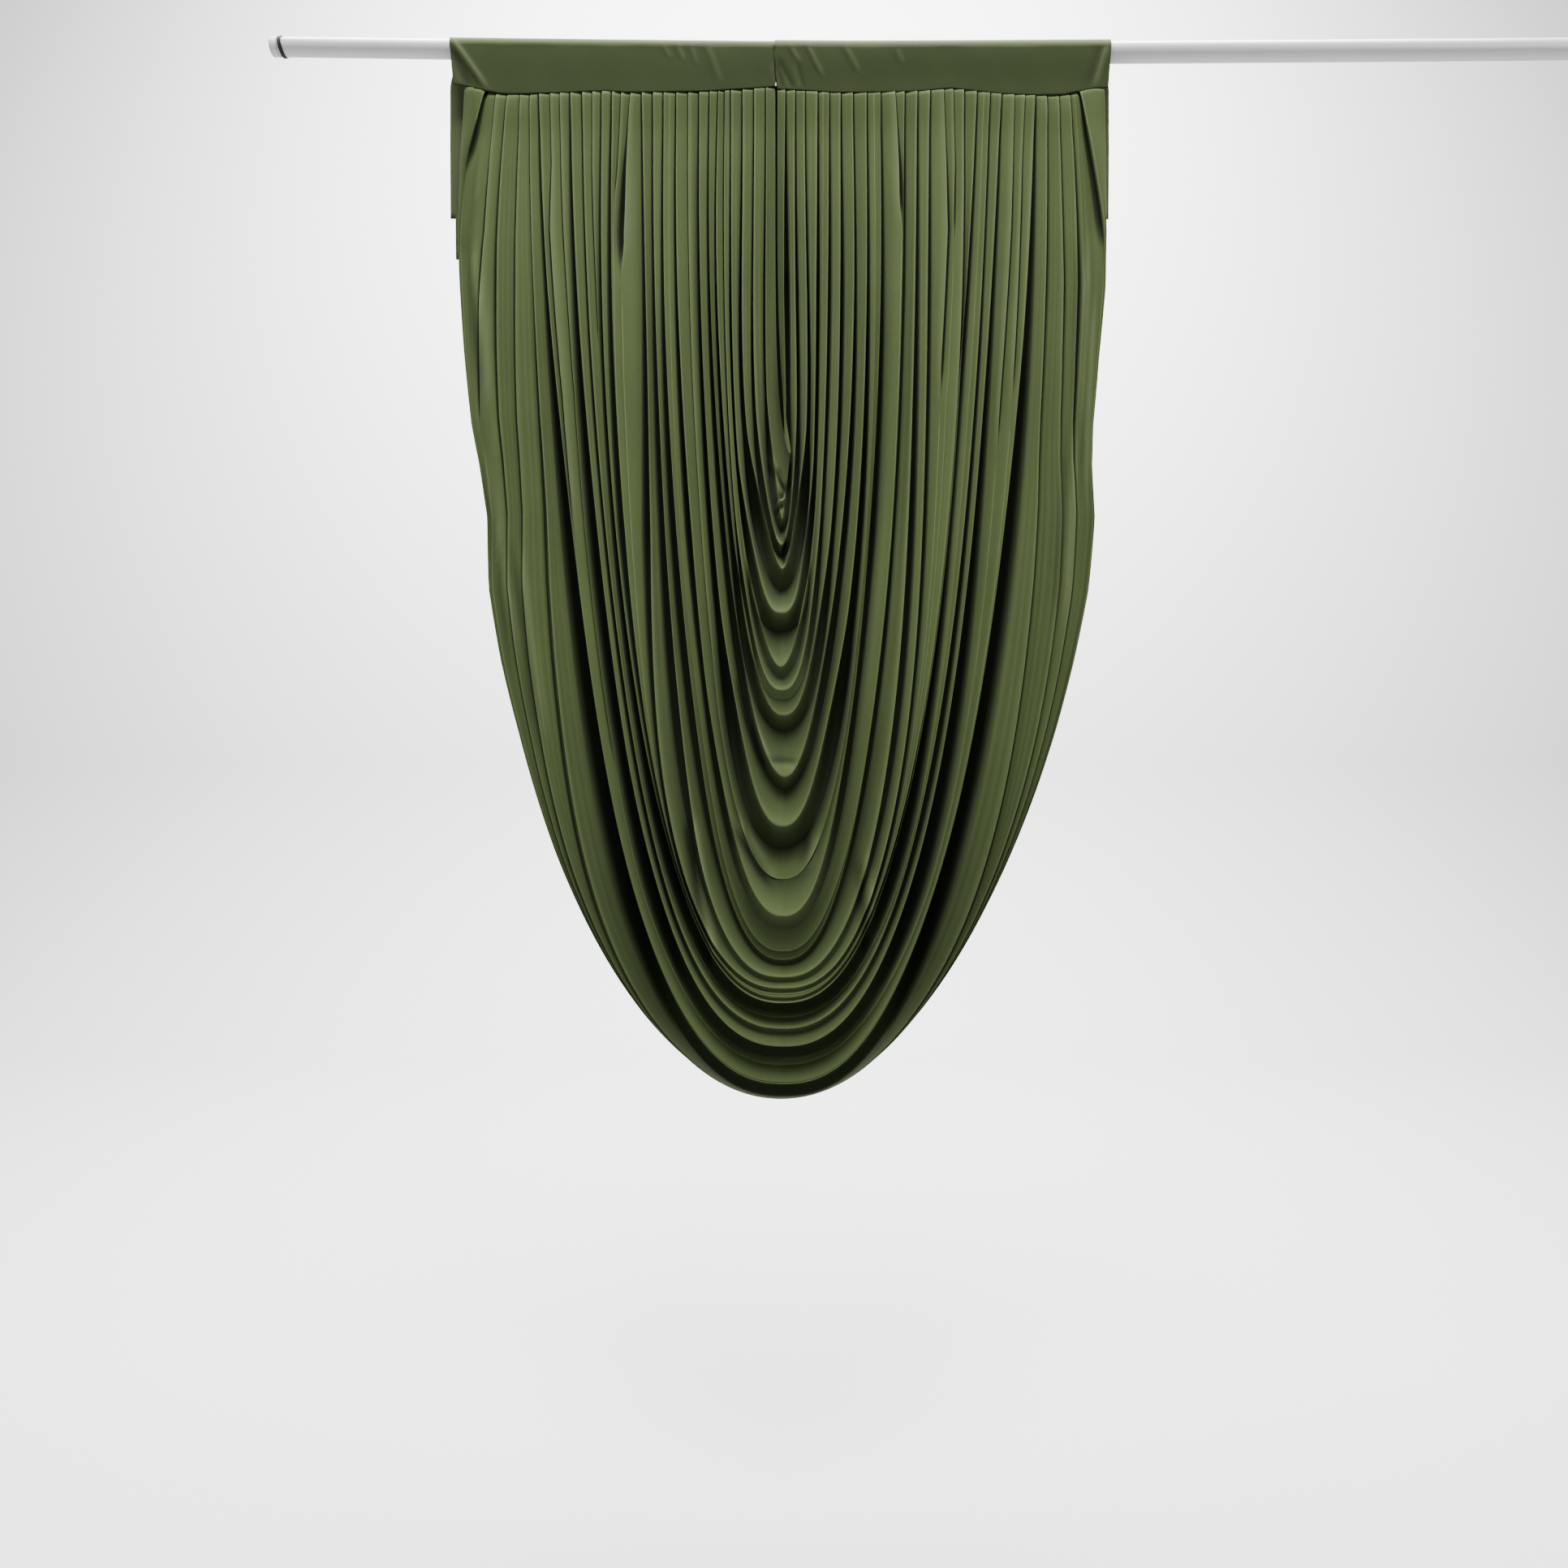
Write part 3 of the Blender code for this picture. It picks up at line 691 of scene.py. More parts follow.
# Painted light in the swag's colour: painted shade that varies from strip to strip, painted
# highlight and painted shade on the faces' ripples, and painted shade in bowl pockets, in corners
# beside slits and under lips.
STRIP_SHADE = 0.05
STRIP_SHADE_TURN = 2.3
STREAK_TURN = 2.4
STREAK_SLANT = 5.0
STREAK_FACE = 0.05
STREAK_PALE = 0.12
STREAK_SHADE = 0.16
SHOULDER = 0.0018
LAP_STEP = 0.50
STEP_SPREAD = 0.55
POCKET_SHADE_INNER = 0.80
POCKET_SHADE_OUTER = 0.52
POCKET_START = 0.55
UNDER_SHADE = 0.90
SHALLOW_RELIEF = 0.013
PANEL_INSIDE = 0.0164
FACE_END = 0.93
COWL_POWER = 1.1
OVER_POWER = 2.5
CORNER_SHADE = 0.25
LIP_TUCK = 0.0030
SLIT_DEPTH = 4.0
SHUT_SLIT = 0.2
FOLD_OPENS_OVER = 0.12
BACK_LIMIT_AT_FLAP = -0.0130
BACK_LIMIT_BELOW = -0.0200
FLAP_FOOT = -0.46
DOUBLED_TO_X = 0.373
DOUBLED_FOOT = -0.417

# Sizes in millimetres: left and right are distances from the centre line at the seam, shift moves
# the foot sideways, and relief is how far the fold stands out.  lip is the lowest place of its
# front edge, gap that of the slit's far side, and reach how far each stands forward there.
# Shares: fullness and rounding shape the U, crisp is how sharp the fold still is at its foot,
# opens is where a short fold starts down its drop, and flats counts its face's columns.
Fold = namedtuple("Fold", "name left right shift relief lip_drop lip_reach gap_drop gap_reach "
                          "fullness rounding crisp opens flats")
FOLDS = [Fold(name, *(size / 1000 for size in sizes), *shares) for name, sizes, shares in (
    ("neck_1", (30, 9.7, 3, 10, 962, 52, 983, 34), (6, 0.5, 0.1, 0, 28)),
    ("neck_2", (54, 29, 1, 12, 1014, 56, 1033, 38), (5, 0.5, 0.3, 0, 4)),
    ("neck_3", (77, 48.5, 3, 13, 1061, 60, 1102, 36), (4, 0.55, 0.2, 0, 4)),
    ("bowl_1", (100, 74, 1, 14, 1149, 70, 1184, 44), (2.9, 0.36, 0.1, 0, 3)),
    ("bowl_2", (106, 85, 0, 8, 1254, 76, 1275, 66), (2.8, 0.52, 0, 0.8, 2)),
    ("bowl_3", (112, 97, 2, 10, 1300, 78, 1318, 72), (2.6, 0.4, 0, 0, 2)),
    ("bowl_4", (124.5, 120, 6, 15, 1349, 78, 1380, 55), (2.5, 0.42, 0.1, 0, 5)),
    ("bowl_5", (142, 144, 8, 15, 1469, 90, 1496, 65), (2.2, 0.5, 0.1, 0, 12)),
    ("bowl_6", (163, 171.5, 4, 18, 1564, 100, 1611, 66), (2, 0.42, 0.2, 0, 10)),
    ("lap_1", (208.5, 199, 5, 18, 1734, 120, 1757, 110), (1.9, 0.42, 0, 0, 15)),
    ("lap_2", (234, 247.5, 4, 25, 1823, 88, 1832, 78), (2, 0.42, 0.2, 0, 4)),
    ("lap_3", (255.5, 273, 4, 20, 1854, 103, 1863, 98), (2.7, 0.4, 0, 0, 3)),
    ("lap_4", (278, 298.5, 4, 16, 1874, 112, 1881, 108), (3.1, 0.4, 0.1, 0, 3)),
    ("lap_5", (337, 366, 4, 22, 1890, 119, 1895, 116), (2.1, 0.42, 0.1, 0, 2)),
    ("foot_1", (357.5, 392, 4, 20, 1900, 124, 1926, 85), (2, 0.42, 0.8, 0, 3)),
    ("foot_2", (397, 418, 4, 16, 1951, 113, 1960, 104), (1.9, 0.42, 0.2, 0, 2)),
    ("foot_3", (420.5, 441, 5, 18, 1984, 118, 2015, 78), (1.9, 0.42, 0.8, 0, 3)),
    ("foot_4", (483, 508, 5, 35, 2059, 105, 2095, 60), (1.7, 0.42, 0.8, 0, 2)),
)]
INNER_EDGE = Fold("inner_edge", 0.0115, -0.0068, 0.018, 0, 0.830, 0.045, 0.830, 0.045, 9.0, 0.34,
                  0, 0, 0)

# Width in millimetres of the dark slit outside each lip, 0.5 m, 1 m and 1.5 m below the rod.
Sides = namedtuple("Sides", "left_high left_mid left_low right_high right_mid right_low")
SLITS = {name: Sides(*(width / 1000 for width in widths)) for name, *widths in (
    ("neck_1", 4, 4, 4, 11, 8, 6),
    ("neck_2", 3, 11, 9, 6, 8, 8),
    ("neck_3", 4, 10, 10, 3, 10, 10),
    ("bowl_1", 3, 8, 12, 6, 6, 12),
    ("bowl_2", 1, 1, 2, 1, 2, 2),
    ("bowl_3", 1, 1, 2, 6, 7, 8),
    ("bowl_4", 3, 8, 14, 6, 7, 12),
    ("bowl_5", 4, 11, 22, 4, 12, 18),
    ("bowl_6", 3, 6, 13, 3, 8, 20),
    ("lap_1", 4, 11, 4, 6, 12, 6),
    ("lap_2", 5, 13, 20, 6, 5, 12),
    ("lap_3", 5, 11, 22, 6, 11, 14),
    ("lap_4", 5, 12, 4, 5, 6, 4),
    ("lap_5", 6, 11, 3, 3, 3, 3),
    ("foot_1", 3, 3, 7, 4, 6, 14),
    ("foot_2", 3, 4, 6, 3, 6, 12),
    ("foot_3", 5, 12, 14, 4, 8, 20),
    ("foot_4", 3, 14, 24, 8, 16, 20),
    ("side_1", 3, 10, 10, 6, 4, 3),
    ("side_2", 5, 5, 4, 6, 3, 2),
    ("side_3", 7, 4, 2, 8, 4, 2),
)}

# How many millimetres a fold swells outward from its plain U, at a quarter, half and three
# quarters of its drop.
SWAYS = {name: Sides(*(swell / 1000 for swell in swells)) for name, *swells in (
    ("neck_1", 0, 1, 4, 0, 0, 3),
    ("neck_2", 0, 0, 7, 0, 0, 6),
    ("neck_3", 0, 0, 10, 0, 1, 10),
    ("bowl_1", 0, 0, 6, 0, 0, 2),
    ("bowl_2", 0, 0, 4, 0, 0, 2),
    ("bowl_3", 2, 2, 0, 0, 2, 0),
    ("bowl_4", 5, 4, -4, 0, 4, 4),
    ("bowl_5", 3, 4, -2, 2, 8, 8),
    ("bowl_6", 2, 3, -3, 1, 6, 10),
    ("lap_1", 4, 2, -2, 3, 9, 0),
    ("lap_2", 3, 4, 0, 0, 2, 4),
    ("lap_3", 2, -6, -3, 0, -5, 10),
    ("lap_4", 0, -15, 20, -2, -3, 4),
    ("lap_5", 5, 4, 4, 2, 0, 0),
    ("foot_1", 4, 6, 0, -4, -20, 0),
    ("foot_2", 0, -4, -5, -5, -6, 2),
    ("foot_3", 0, -7, -4, -7, -10, 6),
    ("foot_4", 0, -16, 8, -2, -4, 6),
    ("inner_edge", 0, 0, 0, 0, 0, 0),
)}

# Ridges in the wide outer face: where each lies between the last fold and the hem, at the seam on
# each side and at its foot.
OuterRidge = namedtuple("OuterRidge", "name left right foot ease relief crisp flats")
OUTER_RIDGES = (
    OuterRidge("side_1", 0.11, 0.16, 0.96, 3.0, 0.016, 0.2, 6),
    OuterRidge("side_2", 0.24, 0.33, 1.00, 1.3, 0.014, 0.1, 7),
    OuterRidge("side_3", 0.40, 0.48, 1.00, 0.8, 0.010, 0.1, 7),
)

# Short pleats that open out of the seam inside a wider face and fade lower down: where each lies
# across the face at these drops below the rod, the drop where it ends, its slit and its relief.
# Where over is true, the outer side lies on top.
TUCK_DROPS = (0.09, 0.25, 0.38, 0.72, 1.10)
TUCK_OPENS_OVER = 0.12
TUCK_PARTS_FROM = 0.12
TUCK_PARTS_OVER = 0.26
TUCK_FADES_OVER = 0.10
TUCK_WIDEST = 0.12
TUCK_FIRST_PLACE = 0.12
TUCK_LAST_PLACE = 0.94
TUCK_DEPTH_TO_SLIT = 2.5
Tuck = namedtuple("Tuck", "places ends slit relief")
TuckPair = namedtuple("TuckPair", "face left right over", defaults=(False,))
NO_TUCK = Tuck((0.5, 0.5, 0.5, 0.5, 0.5), 0, 0, 0)
TUCKS = (
    TuckPair("lap_1", Tuck((0.48, 0.45, 0.43, 0.40, 0.40), 1.30, 0.0025, 0.008), NO_TUCK),
    TuckPair("lap_2", NO_TUCK, Tuck((0.58, 0.83, 0.96, 0.97, 0.97), 0.40, 0.0120, 0.010)),
    TuckPair("lap_5", Tuck((0.35, 0.56, 0.68, 0.68, 0.62), 0.50, 0.0150, 0.014),
             Tuck((0.38, 0.49, 0.55, 0.38, 0.38), 0.75, 0.0060, 0.010)),
    TuckPair("lap_5", Tuck((0.68, 0.77, 0.90, 0.97, 0.97), 0.36, 0.0040, 0.008),
             Tuck((0.67, 0.73, 0.69, 0.60, 0.60), 0.44, 0.0045, 0.010)),
    TuckPair("foot_2", Tuck((0.46, 0.48, 0.40, 0.10, 0.10), 0.66, 0.0030, 0.008), NO_TUCK),
    TuckPair("foot_4", Tuck((0.32, 0.30, 0.28, 0.14, 0.12), 1.50, 0.0030, 0.008),
             Tuck((0.36, 0.41, 0.44, 0.40, 0.43), 0.85, 0.0040, 0.009)),
    TuckPair("foot_4", Tuck((0.63, 0.63, 0.79, 0.77, 0.95), 1.00, 0.0040, 0.009),
             Tuck((0.69, 0.68, 0.71, 0.80, 0.90), 0.75, 0.0040, 0.009)),
    TuckPair("hem", Tuck((0.25, 0.28, 0.32, 0.64, 0.80), 0.80, 0.0050, 0.010),
             Tuck((0.10, 0.10, 0.10, 0.10, 0.10), 0, 0, 0)),
    TuckPair("hem", Tuck((0.49, 0.84, 0.93, 0.94, 0.94), 0.30, 0.0060, 0.016),
             Tuck((0.24, 0.56, 0.86, 0.94, 0.94), 0.46, 0.0060, 0.024), True),
)
HEM_LEFT = 0.6487
HEM_RIGHT = 0.6520
HEM_DROP = 2.1120
HEM_FULLNESS = 2.35
HEM_ROUNDING = 0.50
HEM_REACH = 0.0200

# Small moves of the hem, outward on the left and on the right: the share of its drop, and each.
HEM_SHARES, HEM_TRIMS_LEFT, HEM_TRIMS_RIGHT = zip(
    (0.00, -0.018, -0.006), (0.07, -0.006, 0.000), (0.16, 0.002, 0.004), (0.20, 0.002, 0.006),
    (0.27, 0.000, 0.000), (0.34, -0.004, -0.002), (0.38, -0.012, 0.004), (0.43, -0.015, 0.022),
    (0.50, 0.002, 0.030), (0.57, 0.004, 0.027), (0.64, 0.001, 0.022), (0.70, 0.001, 0.016),
    (0.76, 0.001, 0.009), (0.81, -0.001, 0.003), (0.86, -0.003, -0.002), (0.92, -0.006, -0.008),
    (0.96, -0.009, -0.008), (1.00, 0.000, 0.000))

# The last columns of the sheet: their places across the outer face, and the turned hem's distance
# from the edge, how far back it lies, and how much painted highlight it gets.
HEM_PLACES = (0.06, 0.13, 0.21, 0.30, 0.39, 0.48, 0.57, 0.66, 0.75, 0.83, 0.90, 0.96)
HEM_CREST = 0.006
HEM_ROLL = (
    (0.0015, 0.0, 0.6),
    (0.0, -0.0010, 1.0),
    (0.0012, -0.0022, 0.0),
    (0.0140, -0.0030, 0.0),
)

seam_rows = np.array(SEAM_ROWS)
middle_rows = np.linspace(FIRST_ROW, math.pi - FIRST_ROW, SWAG_ROWS - 2 * len(SEAM_ROWS))
angle = np.concatenate((seam_rows, middle_rows, math.pi - seam_rows[::-1]))
share = np.clip(np.sin(angle), 0.0, 1.0)
on_left = angle < math.pi / 2
side = np.where(on_left, -1.0, 1.0)
seam_reach = np.where(on_left, SEAM_REACH_LEFT, SEAM_REACH_RIGHT)
foot_share = smooth((share - 0.80) / 0.20)
still = np.zeros(SWAG_ROWS)


def by_side(left, right):
    return np.where(on_left, left, right)


def length_of(x, z, least):
    return np.maximum(np.hypot(x, z), least)


def swell(fold):
    """How far a fold swells outward at each row."""
    sway = SWAYS[fold.name]
    quarter = 256 / 27 * share * (1 - share) ** 3
    half = 16 * share ** 2 * (1 - share) ** 2
    low = 256 / 27 * share ** 3 * (1 - share)
    return (quarter * by_side(sway.left_high, sway.right_high)
            + half * by_side(sway.left_mid, sway.right_mid)
            + low * by_side(sway.left_low, sway.right_low))


def hang(fold, outward, drop, belly=0.0):
    """The U of one fold, moved outward by an amount: x and z at each row."""
    at_seam = by_side(fold.left, fold.right)
    at_foot = max(0.5 * (fold.left + fold.right), belly)
    distance = lerp(at_seam, at_foot, share ** 4) + outward + swell(fold)
    spread = np.maximum(0.0, 1.0 - share ** fold.fullness) ** fold.rounding
    x = SWAG_CENTRE_X + side * distance * spread + fold.shift * share ** 8
    top = seam_height(SWAG_CENTRE_X + side * at_seam) + SEAM_LAP
    return x, lerp(top, -drop, share)


def hem_line():
    """The hem's x and z at each row."""
    width = by_side(HEM_LEFT, HEM_RIGHT)
    trim = by_side(np.interp(share, HEM_SHARES, HEM_TRIMS_LEFT),
                   np.interp(share, HEM_SHARES, HEM_TRIMS_RIGHT))
    spread = np.maximum(0.0, 1.0 - share ** HEM_FULLNESS) ** HEM_ROUNDING
    x = SWAG_CENTRE_X + side * (width * spread + trim)
    top = seam_height(SWAG_CENTRE_X + side * width) + SEAM_LAP
    return x, lerp(top, -HEM_DROP, share)


def slit_width(name, z):
    """A slit's width at each height, on its own side."""
    widths = SLITS[name]
    return by_side(np.interp(-z, SLIT_DROPS, (SEAM_SLIT, *widths[:3])),
                   np.interp(-z, SLIT_DROPS, (SEAM_SLIT, *widths[3:])))


# Each edge of a fold: where its lip and the far side of its slit run, how far forward the lip
# stands and the slit's floor lies, how far behind the lip the next face starts, how crisp it is,
# and how many columns its face has.
Edge = namedtuple("Edge", "name lip gap lip_reach floor step crisp flats")
edges = []


def step_past(line, depth):
    """Moves a deep line away from the swag's middle, so that the slit before it stays open."""
    depth = depth * (1.0 - foot_share)
    return (line[0] + (line[0] - SWAG_CENTRE_X) * depth / VIEW_DEPTH,
            line[1] + (line[1] - SWAG_MIDDLE_Z) * depth / VIEW_DEPTH * smooth(share * 4.0))


for fold in FOLDS:
    open_share = smooth((share - fold.opens) / FOLD_OPENS_OVER) if fold.opens else still + 1.0
    slit = slit_width(fold.name, hang(fold, 0.0, fold.lip_drop)[1])
    slit = lerp(slit, fold.gap_drop - fold.lip_drop, smooth((share - 0.7) / 0.25))
    slit = slit * lerp(SHUT_SLIT, 1.0, open_share)
    lip = hang(fold, -slit / 2, fold.lip_drop)
    gap = hang(fold, slit / 2, fold.gap_drop)
    level = lerp(seam_reach, fold.gap_reach, share ** 2)
    opened = lerp(SEAM_RELIEF, fold.relief, smooth(share / OPENING_DEPTH))
    relief = lerp(opened, fold.lip_reach - fold.gap_reach, share ** 4)
    crisp = lerp(1.0, fold.crisp, share ** 6)
    width = np.hypot(gap[0] - lip[0], gap[1] - lip[1])
    deepest = np.maximum(relief, SLIT_DEPTH * width * (1 - share ** 6))
    depth = lerp(relief, deepest, crisp) * open_share
    lip_reach = level + relief
    floor = lip_reach - depth
    gap = step_past(gap, depth)
    uneven = 1.0 + STEP_SPREAD * np.sin(1.9 * len(edges) + 1.3 * side + 2.5 * share)
    step = lerp(LAP_STEP * uneven, 1.0, smooth((share - 0.70) / 0.28)) * relief * open_share
    edges.append(Edge(fold.name, lip, gap, lip_reach, floor, step, crisp * open_share, fold.flats))

hem_x, hem_z = hem_line()
hem_reach = lerp(seam_reach, HEM_REACH, share)
last = edges[-1]
for ridge_row in OUTER_RIDGES:
    start = by_side(ridge_row.left, ridge_row.right)
    place = lerp(start, ridge_row.foot, share ** ridge_row.ease)
    span = length_of(hem_x - last.gap[0], hem_z - last.gap[1], 1e-4)
    middle = lerp(last.gap[1], hem_z, place)
    slit = np.minimum(slit_width(ridge_row.name, middle) / span, 0.25 * (1.0 - place) + 0.002)
    level = lerp(last.lip_reach - last.step, hem_reach, place)
    opened = lerp(SEAM_RELIEF, ridge_row.relief, smooth(share / OPENING_DEPTH))
    relief = lerp(opened, 0.0, share ** 3) * smooth(share / 0.03)
    inner = [lerp(last.gap[i], (hem_x, hem_z)[i], place - slit / 2) for i in (0, 1)]
    outer = [lerp(last.gap[i], (hem_x, hem_z)[i], place + slit / 2) for i in (0, 1)]
    crisp = lerp(1.0, ridge_row.crisp, smooth(share * 1.8))
    edges.append(Edge(ridge_row.name, inner, outer, level + relief,
                      level - SLIT_DEPTH * 0.5 * slit * span * crisp, 0.8 * relief, crisp,
                      ridge_row.flats))
hem = Edge("hem", (hem_x, hem_z), (hem_x, hem_z), hem_reach, hem_reach, still, still + 0.5, 6)


def tuck_edge(pair, before, after, number):
    """A short pleat between two edges, one side of the swag at a time."""
    z = 0.5 * (before.gap[1] + after.lip[1])
    place, strength, slit, relief = still, still, still, still
    middle = 0.0
    opened = smooth((-z - TUCK_DROPS[0]) / TUCK_OPENS_OVER)
    parted = smooth((-z - TUCK_PARTS_FROM) / TUCK_PARTS_OVER)
    for tuck, rows in ((pair.left, on_left), (pair.right, ~on_left)):
        fade = smooth((tuck.ends + z) / TUCK_FADES_OVER)
        place = np.where(rows, np.interp(-z, TUCK_DROPS, tuck.places), place)
        middle = middle + 0.5 * tuck.places[-1]
        strength = np.where(rows, fade, strength)
        slit = np.where(rows, lerp(SEAM_SLIT, tuck.slit, parted) * fade, slit)
        relief = np.where(rows, lerp(SEAM_RELIEF, tuck.relief, opened) * fade, relief)
    span_x, span_z = after.lip[0] - before.gap[0], after.lip[1] - before.gap[1]
    half = np.minimum(slit / 2 / length_of(span_x, span_z, 1e-4), TUCK_WIDEST)
    place = np.clip(lerp(place, middle, foot_share), TUCK_FIRST_PLACE, TUCK_LAST_PLACE)
    lip, gap = ((before.gap[0] + span_x * edge_place, before.gap[1] + span_z * edge_place)
                for edge_place in (place - half, place + half))
    base = lerp(before.lip_reach - before.step, after.lip_reach, place)
    depth = np.maximum(relief, TUCK_DEPTH_TO_SLIT * slit) * strength
    if pair.over:
        return Edge(pair.face + "_tuck_over", lip, gap, base - 0.8 * depth,
                    base + 0.4 * relief * strength, still, strength, 4)
    return Edge(pair.face + "_tuck_%d" % number, lip, gap, base + 0.3 * relief * strength,
                base - 0.7 * depth, 0.6 * relief * strength, strength, 1)


def beyond(tuck, first):
    """A tuck with its places measured across what the first tuck leaves of the face."""
    return tuck._replace(places=[(place - taken) / (1.0 - taken)
                                 for place, taken in zip(tuck.places, first.places)])


# Every edge from the centre outward, with the tucks in their faces.
order = []
for edge in edges + [hem]:
    inside = [pair for pair in TUCKS if pair.face == edge.name]
    for number, pair in enumerate(inside):
        if number:
            pair = pair._replace(left=beyond(pair.left, inside[0].left),
                                 right=beyond(pair.right, inside[0].right))
        order.append(tuck_edge(pair, order[-1], edge, number + 1))
    order.append(edge)

# Creases where the swag's faces buckle, in millimetres, with painted highlight where they stand up
# and painted shade where they are low.
CREASES = [Pull(*(size / 1000 for size in sizes)) for sizes in (
    (964, 840, 988.4, 894, 3.4, 4),
    (976, 866, 988, 904, 5, -6),
    (1008, 888, 989, 924, 3.4, 6),
    (989, 924, 972, 930, 3.4, 6),
    (972, 946, 986, 936, 5, -5),
    (988.4, 1000, 988.4, 1050, 5, -5),
    (910.8, 1284, 926.7, 1352, 6, 6),
    (926.7, 1352, 959, 1437, 6, 7),
    (960, 1438, 1010, 1440, 6.5, -3.6),
    (907.7, 1569, 967.8, 1664, 7, 7),
    (1052, 1590, 1035.9, 1645, 7, 6),
    (817.4, 1569, 836, 1700, 8, 7),
    (836, 1700, 858.6, 1820, 8, 6),
    (1150, 1640, 1160.9, 1790, 8, 6),
    (368.7, 420, 393.1, 676, 8, 5),
    (388.2, 530, 412.6, 823, 8, 5),
    (404.5, 880, 458.2, 1213, 9, 5),
    (468.2, 1050, 513.7, 1376, 9, 5),
    (1593, 440, 1580.4, 758, 8, 5),
    (1604.9, 563, 1593.5, 888, 8, 5),
    (1567.4, 823, 1547.9, 1148, 9, 5),
)]
CREASE_SCALE = 0.0050
CREASE_PALE = 0.40
CREASE_SHADE = 0.70

# The drop behind a lip, column by column: where each column lies from the lip to the gap, which
# way it is tucked behind the lip, how far it falls and how much painted shade it gets under the
# lip, on a soft and a crisp edge, and whether it gets painted highlight.  A tuck has fewer
# columns, and one whose outer side lies on top falls the other way.
Fall = namedtuple("Fall", "soft_place place behind soft_fall fall soft_dark dark rubbed")
EDGE_FALLS = (
    Fall(0.10, 0.00, 1.0, 0.08, 0.22, 0.20, 0.35, 0.0),
    Fall(0.42, 0.05, 1.0, 0.50, 0.85, 0.50, 1.0, 0.0),
    Fall(0.80, 0.40, 0.0, 0.90, 1.0, 0.80, 1.0, 0.0),
    Fall(1.0, 0.85, 0.0, 1.0, 0.80, 1.0, 1.0, 0.0),
)
TUCK_FALLS = EDGE_FALLS[2:]
OVER_FALLS = (
    Fall(0.85, 0.85, -1.0, 0.10, 0.10, 0.50, 1.0, 0.0),
    Fall(0.90, 0.90, 0.0, 0.96, 0.96, 0.80, 0.0, 1.0),
    Fall(1.0, 1.0, 0.0, 1.0, 1.0, 1.0, 0.0, 1.0),
)

# The floor of the centre slot and the swag's inner edge: places left and right of the centre line,
# how far back it lies, how rounded its foot is, and whether it gets painted highlight; the floor
# columns without it get painted shade.
SLOT_COLUMNS = (
    (-0.0035, 0.0035, 0.028, 0.0, 0.0),
    (0.0105, -0.0060, 0.024, 0.0062, 0.0),
    (INNER_EDGE.left, INNER_EDGE.right, 0.0, 0.0070, 1.0),
)

# The sheet, column by column, from the inner edge to the hem.
columns = []
marks = []
depths = []


def add_column(x, z, reach, mark=0.0, depth=0.0):
    under_seam = seam_height(x) - z
    puff = smooth(under_seam / PUFF_RISE) * smooth((PUFF_FALL - under_seam) / PUFF_FALL)
    reach = reach + SEAM_PUFF * puff * (1.0 - 0.6 * depth)
    reach = np.minimum(reach, PANEL_INSIDE + 0.2 * smooth(under_seam / PUFF_RISE) ** 2)
    reach = np.maximum(reach, np.where(z > FLAP_FOOT, BACK_LIMIT_AT_FLAP, BACK_LIMIT_BELOW))
    columns.append(np.stack((x, -reach, z), axis=1))
    marks.append(still + mark)
    depths.append(still + depth)


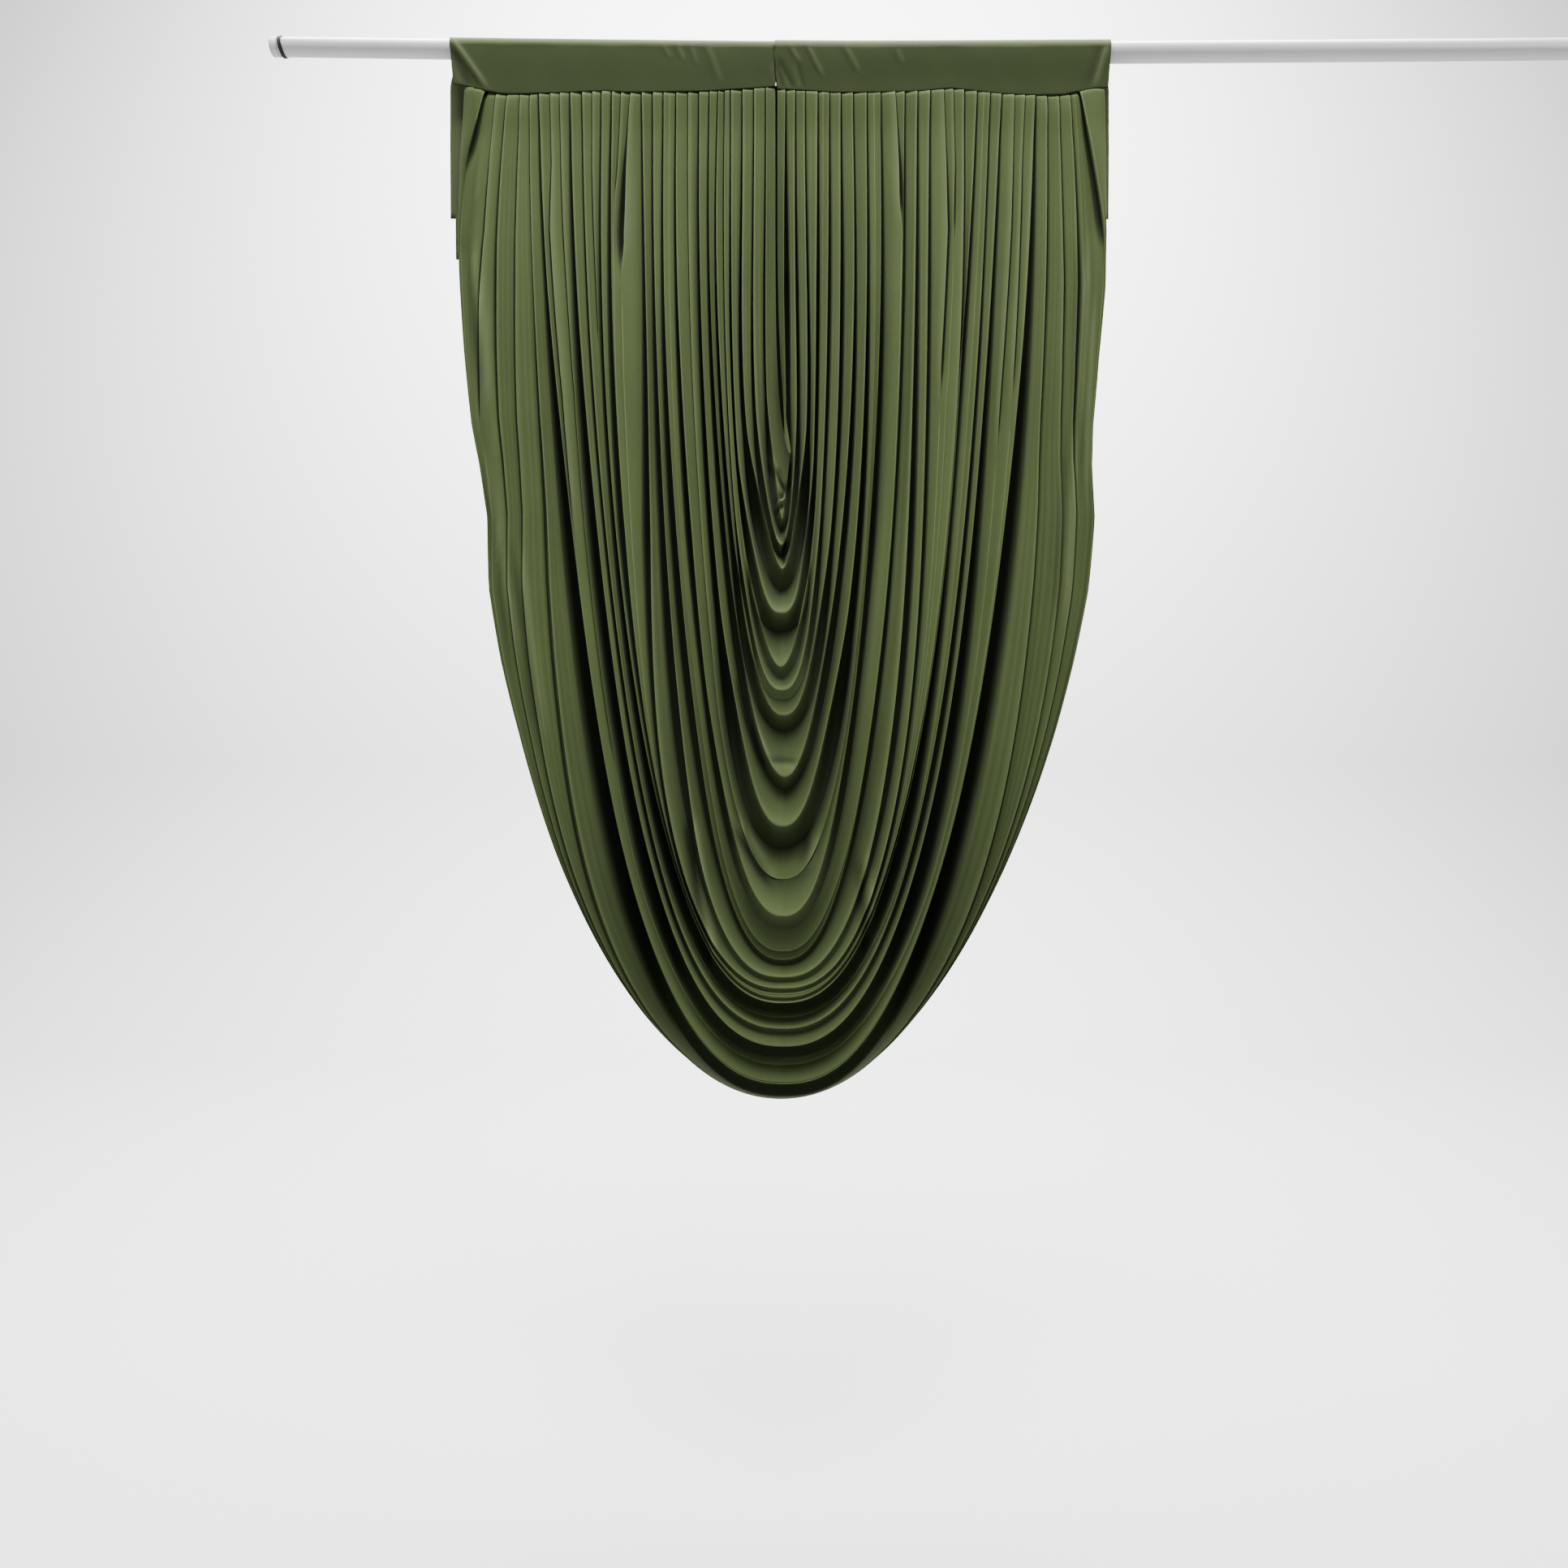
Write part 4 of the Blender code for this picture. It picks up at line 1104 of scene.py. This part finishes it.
start_level = lerp(seam_reach + by_side(0.0, 0.002), INNER_EDGE.lip_reach, share ** 2)
for left, right, back, belly, mark in SLOT_COLUMNS:
    line = hang(INNER_EDGE._replace(left=left, right=right), 0.0, INNER_EDGE.lip_drop, belly)
    raised = line[1] + SLOT_RISE * (1.0 - smooth(share / 0.06)) * (1.0 - mark)
    add_column(line[0], raised, start_level - back * by_side(1.0, 0.2 + 0.8 * share),
               0.8 * mark, 1.0 - mark)
floor_reach = start_level
before_gap = line
before_crisp = still + 0.5
for edge in order[:-1]:
    tuck_only = "tuck" in edge.name
    over = edge.name.endswith("over")
    run_x, run_z = edge.lip[0] - before_gap[0], edge.lip[1] - before_gap[1]
    run = length_of(run_x, run_z, 1e-5)
    shoulder = np.minimum(SHOULDER, 0.35 * run) / run
    places = [0.3 * shoulder, shoulder]
    places += [shoulder + (FACE_END - shoulder) * n / (edge.flats + 1)
               for n in range(1, edge.flats + 1)]
    for flat, t in enumerate(places):
        across = np.clip((t - shoulder) / (1.0 - shoulder), 0.0, 1.0)
        reach = lerp(start_level, edge.lip_reach, across ** (OVER_POWER if over else COWL_POWER))
        if flat == 0:
            reach = lerp(floor_reach, start_level, 0.66)
        # Ripples in each face, with painted highlight where they stand up and painted shade where
        # they sink.
        streak = np.sin(len(columns) * STREAK_TURN + STREAK_SLANT * share + 0.8 * side)
        streak = streak * smooth(share / 0.15) * np.minimum(run / STREAK_FACE, 1.0)
        streak = streak * (1.0 - share ** 5) * (flat > 0)
        # Painted shade that varies from strip to strip, painted shade in a bowl's pocket below the
        # lip above, and painted shade in the corner beside a crisp slit.
        strip_shade = STRIP_SHADE * (1.0 + np.sin(STRIP_SHADE_TURN * len(columns) / (edge.flats + 6) + 1.7 * side))
        pocket = lerp(POCKET_SHADE_INNER, POCKET_SHADE_OUTER, smooth(len(columns) / SWAG_COLUMNS))
        pocket = pocket * smooth((share - POCKET_START) / 0.35) * (1.0 - across) ** 1.3
        corner = CORNER_SHADE * before_crisp * (flat == 0)
        add_column(before_gap[0] + run_x * t, before_gap[1] + run_z * t,
                   reach + FACE_RIPPLE * streak, STREAK_PALE * np.maximum(streak, 0.0),
                   np.maximum(pocket, corner) + STREAK_SHADE * np.maximum(-streak, 0.0) + strip_shade)
    back = np.minimum(LIP_RADIUS * 1.6, 0.08 * run) / run
    # Painted highlight along each lip; a lip whose outer side lies on top gets painted shade
    # instead.
    mark = still if over else np.maximum(edge.crisp, 0.8 * (not tuck_only))
    shade = 0.5 * edge.crisp if over else 0.0
    add_column(edge.lip[0] - run_x * back, edge.lip[1] - run_z * back, edge.lip_reach,
               0.3 * mark, 0.6 * shade)
    add_column(*edge.lip, edge.lip_reach - 0.6 * LIP_RADIUS * edge.crisp, mark, shade)
    deep_x, deep_z = edge.gap[0] - edge.lip[0], edge.gap[1] - edge.lip[1]
    tuck = np.minimum(LIP_TUCK, 0.2 * run) / run * edge.crisp
    height = edge.lip_reach - edge.floor
    # Painted shade under each lip, more for deeper folds.
    under = UNDER_SHADE * np.minimum(height / SHALLOW_RELIEF, 1.0) * (not tuck_only)
    for row in OVER_FALLS if over else TUCK_FALLS if tuck_only else EDGE_FALLS:
        t = lerp(row.soft_place, row.place, edge.crisp)
        behind = tuck * row.behind
        dark = lerp(row.soft_dark, row.dark, edge.crisp) * np.maximum(edge.crisp, under)
        add_column(edge.lip[0] + deep_x * t - run_x * behind,
                   edge.lip[1] + deep_z * t - run_z * behind,
                   edge.lip_reach - height * lerp(row.soft_fall, row.fall, edge.crisp),
                   edge.crisp * row.rubbed, dark)
    before_gap, before_crisp = edge.gap, edge.crisp
    floor_reach = edge.lip_reach - height * (1.0 if over else lerp(1.0, 0.80, edge.crisp))
    start_level = floor_reach if over else edge.lip_reach - edge.step

run_x, run_z = hem_x - before_gap[0], hem_z - before_gap[1]
for t in HEM_PLACES:
    crest = math.sin(math.pi * t) * HEM_CREST * (1 - share ** 4)
    add_column(before_gap[0] + run_x * t, before_gap[1] + run_z * t,
               lerp(start_level, hem_reach, t) + crest)
run = length_of(run_x, run_z, 1e-5)
for back, depth, mark in HEM_ROLL:
    inward = np.minimum(back, 0.3 * run) / run
    add_column(hem_x - run_x * inward, hem_z - run_z * inward, hem_reach + depth,
               mark * (1 - share ** 2))

cloth_points = np.stack(columns, axis=1)
edge_marks = np.stack(marks, axis=1)
slit_marks = np.stack(depths, axis=1)
crumple = sum(ridge(cloth_points[..., 0], cloth_points[..., 2], crease) for crease in CREASES)
cloth_points[..., 1] -= crumple * (1.0 - slit_marks)
# Painted highlight on the creases' ridges and painted shade in their troughs.
edge_marks = edge_marks + np.clip(crumple / CREASE_SCALE, 0.0, 1.0) * CREASE_PALE
dark_creases = np.clip(-crumple / CREASE_SCALE, 0.0, 1.0) * CREASE_SHADE
slit_marks = np.clip(slit_marks + dark_creases, 0.0, 1.0)

swag = grid_piece("swag_cloth_draped", cloth_points)
mark_points(swag, "fold_edge", edge_marks)
mark_points(swag, "painted_shade", slit_marks)
# Painted shade where the band's flap hangs behind the swag: two layers let less light through.
flap_behind = (cloth_points[..., 0] < DOUBLED_TO_X) * (cloth_points[..., 2] > DOUBLED_FOOT)
mark_points(swag, "doubled_shade", flap_behind)
swag_cloth = knit_finish("olive_swag_cloth", CLOTH_COLOUR, CLOTH_SHADE, edge_light=0.8,
                         doubled_shade=0.8)
swag.data.materials.append(swag_cloth)
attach(swag, "root")
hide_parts("swag_cloth")
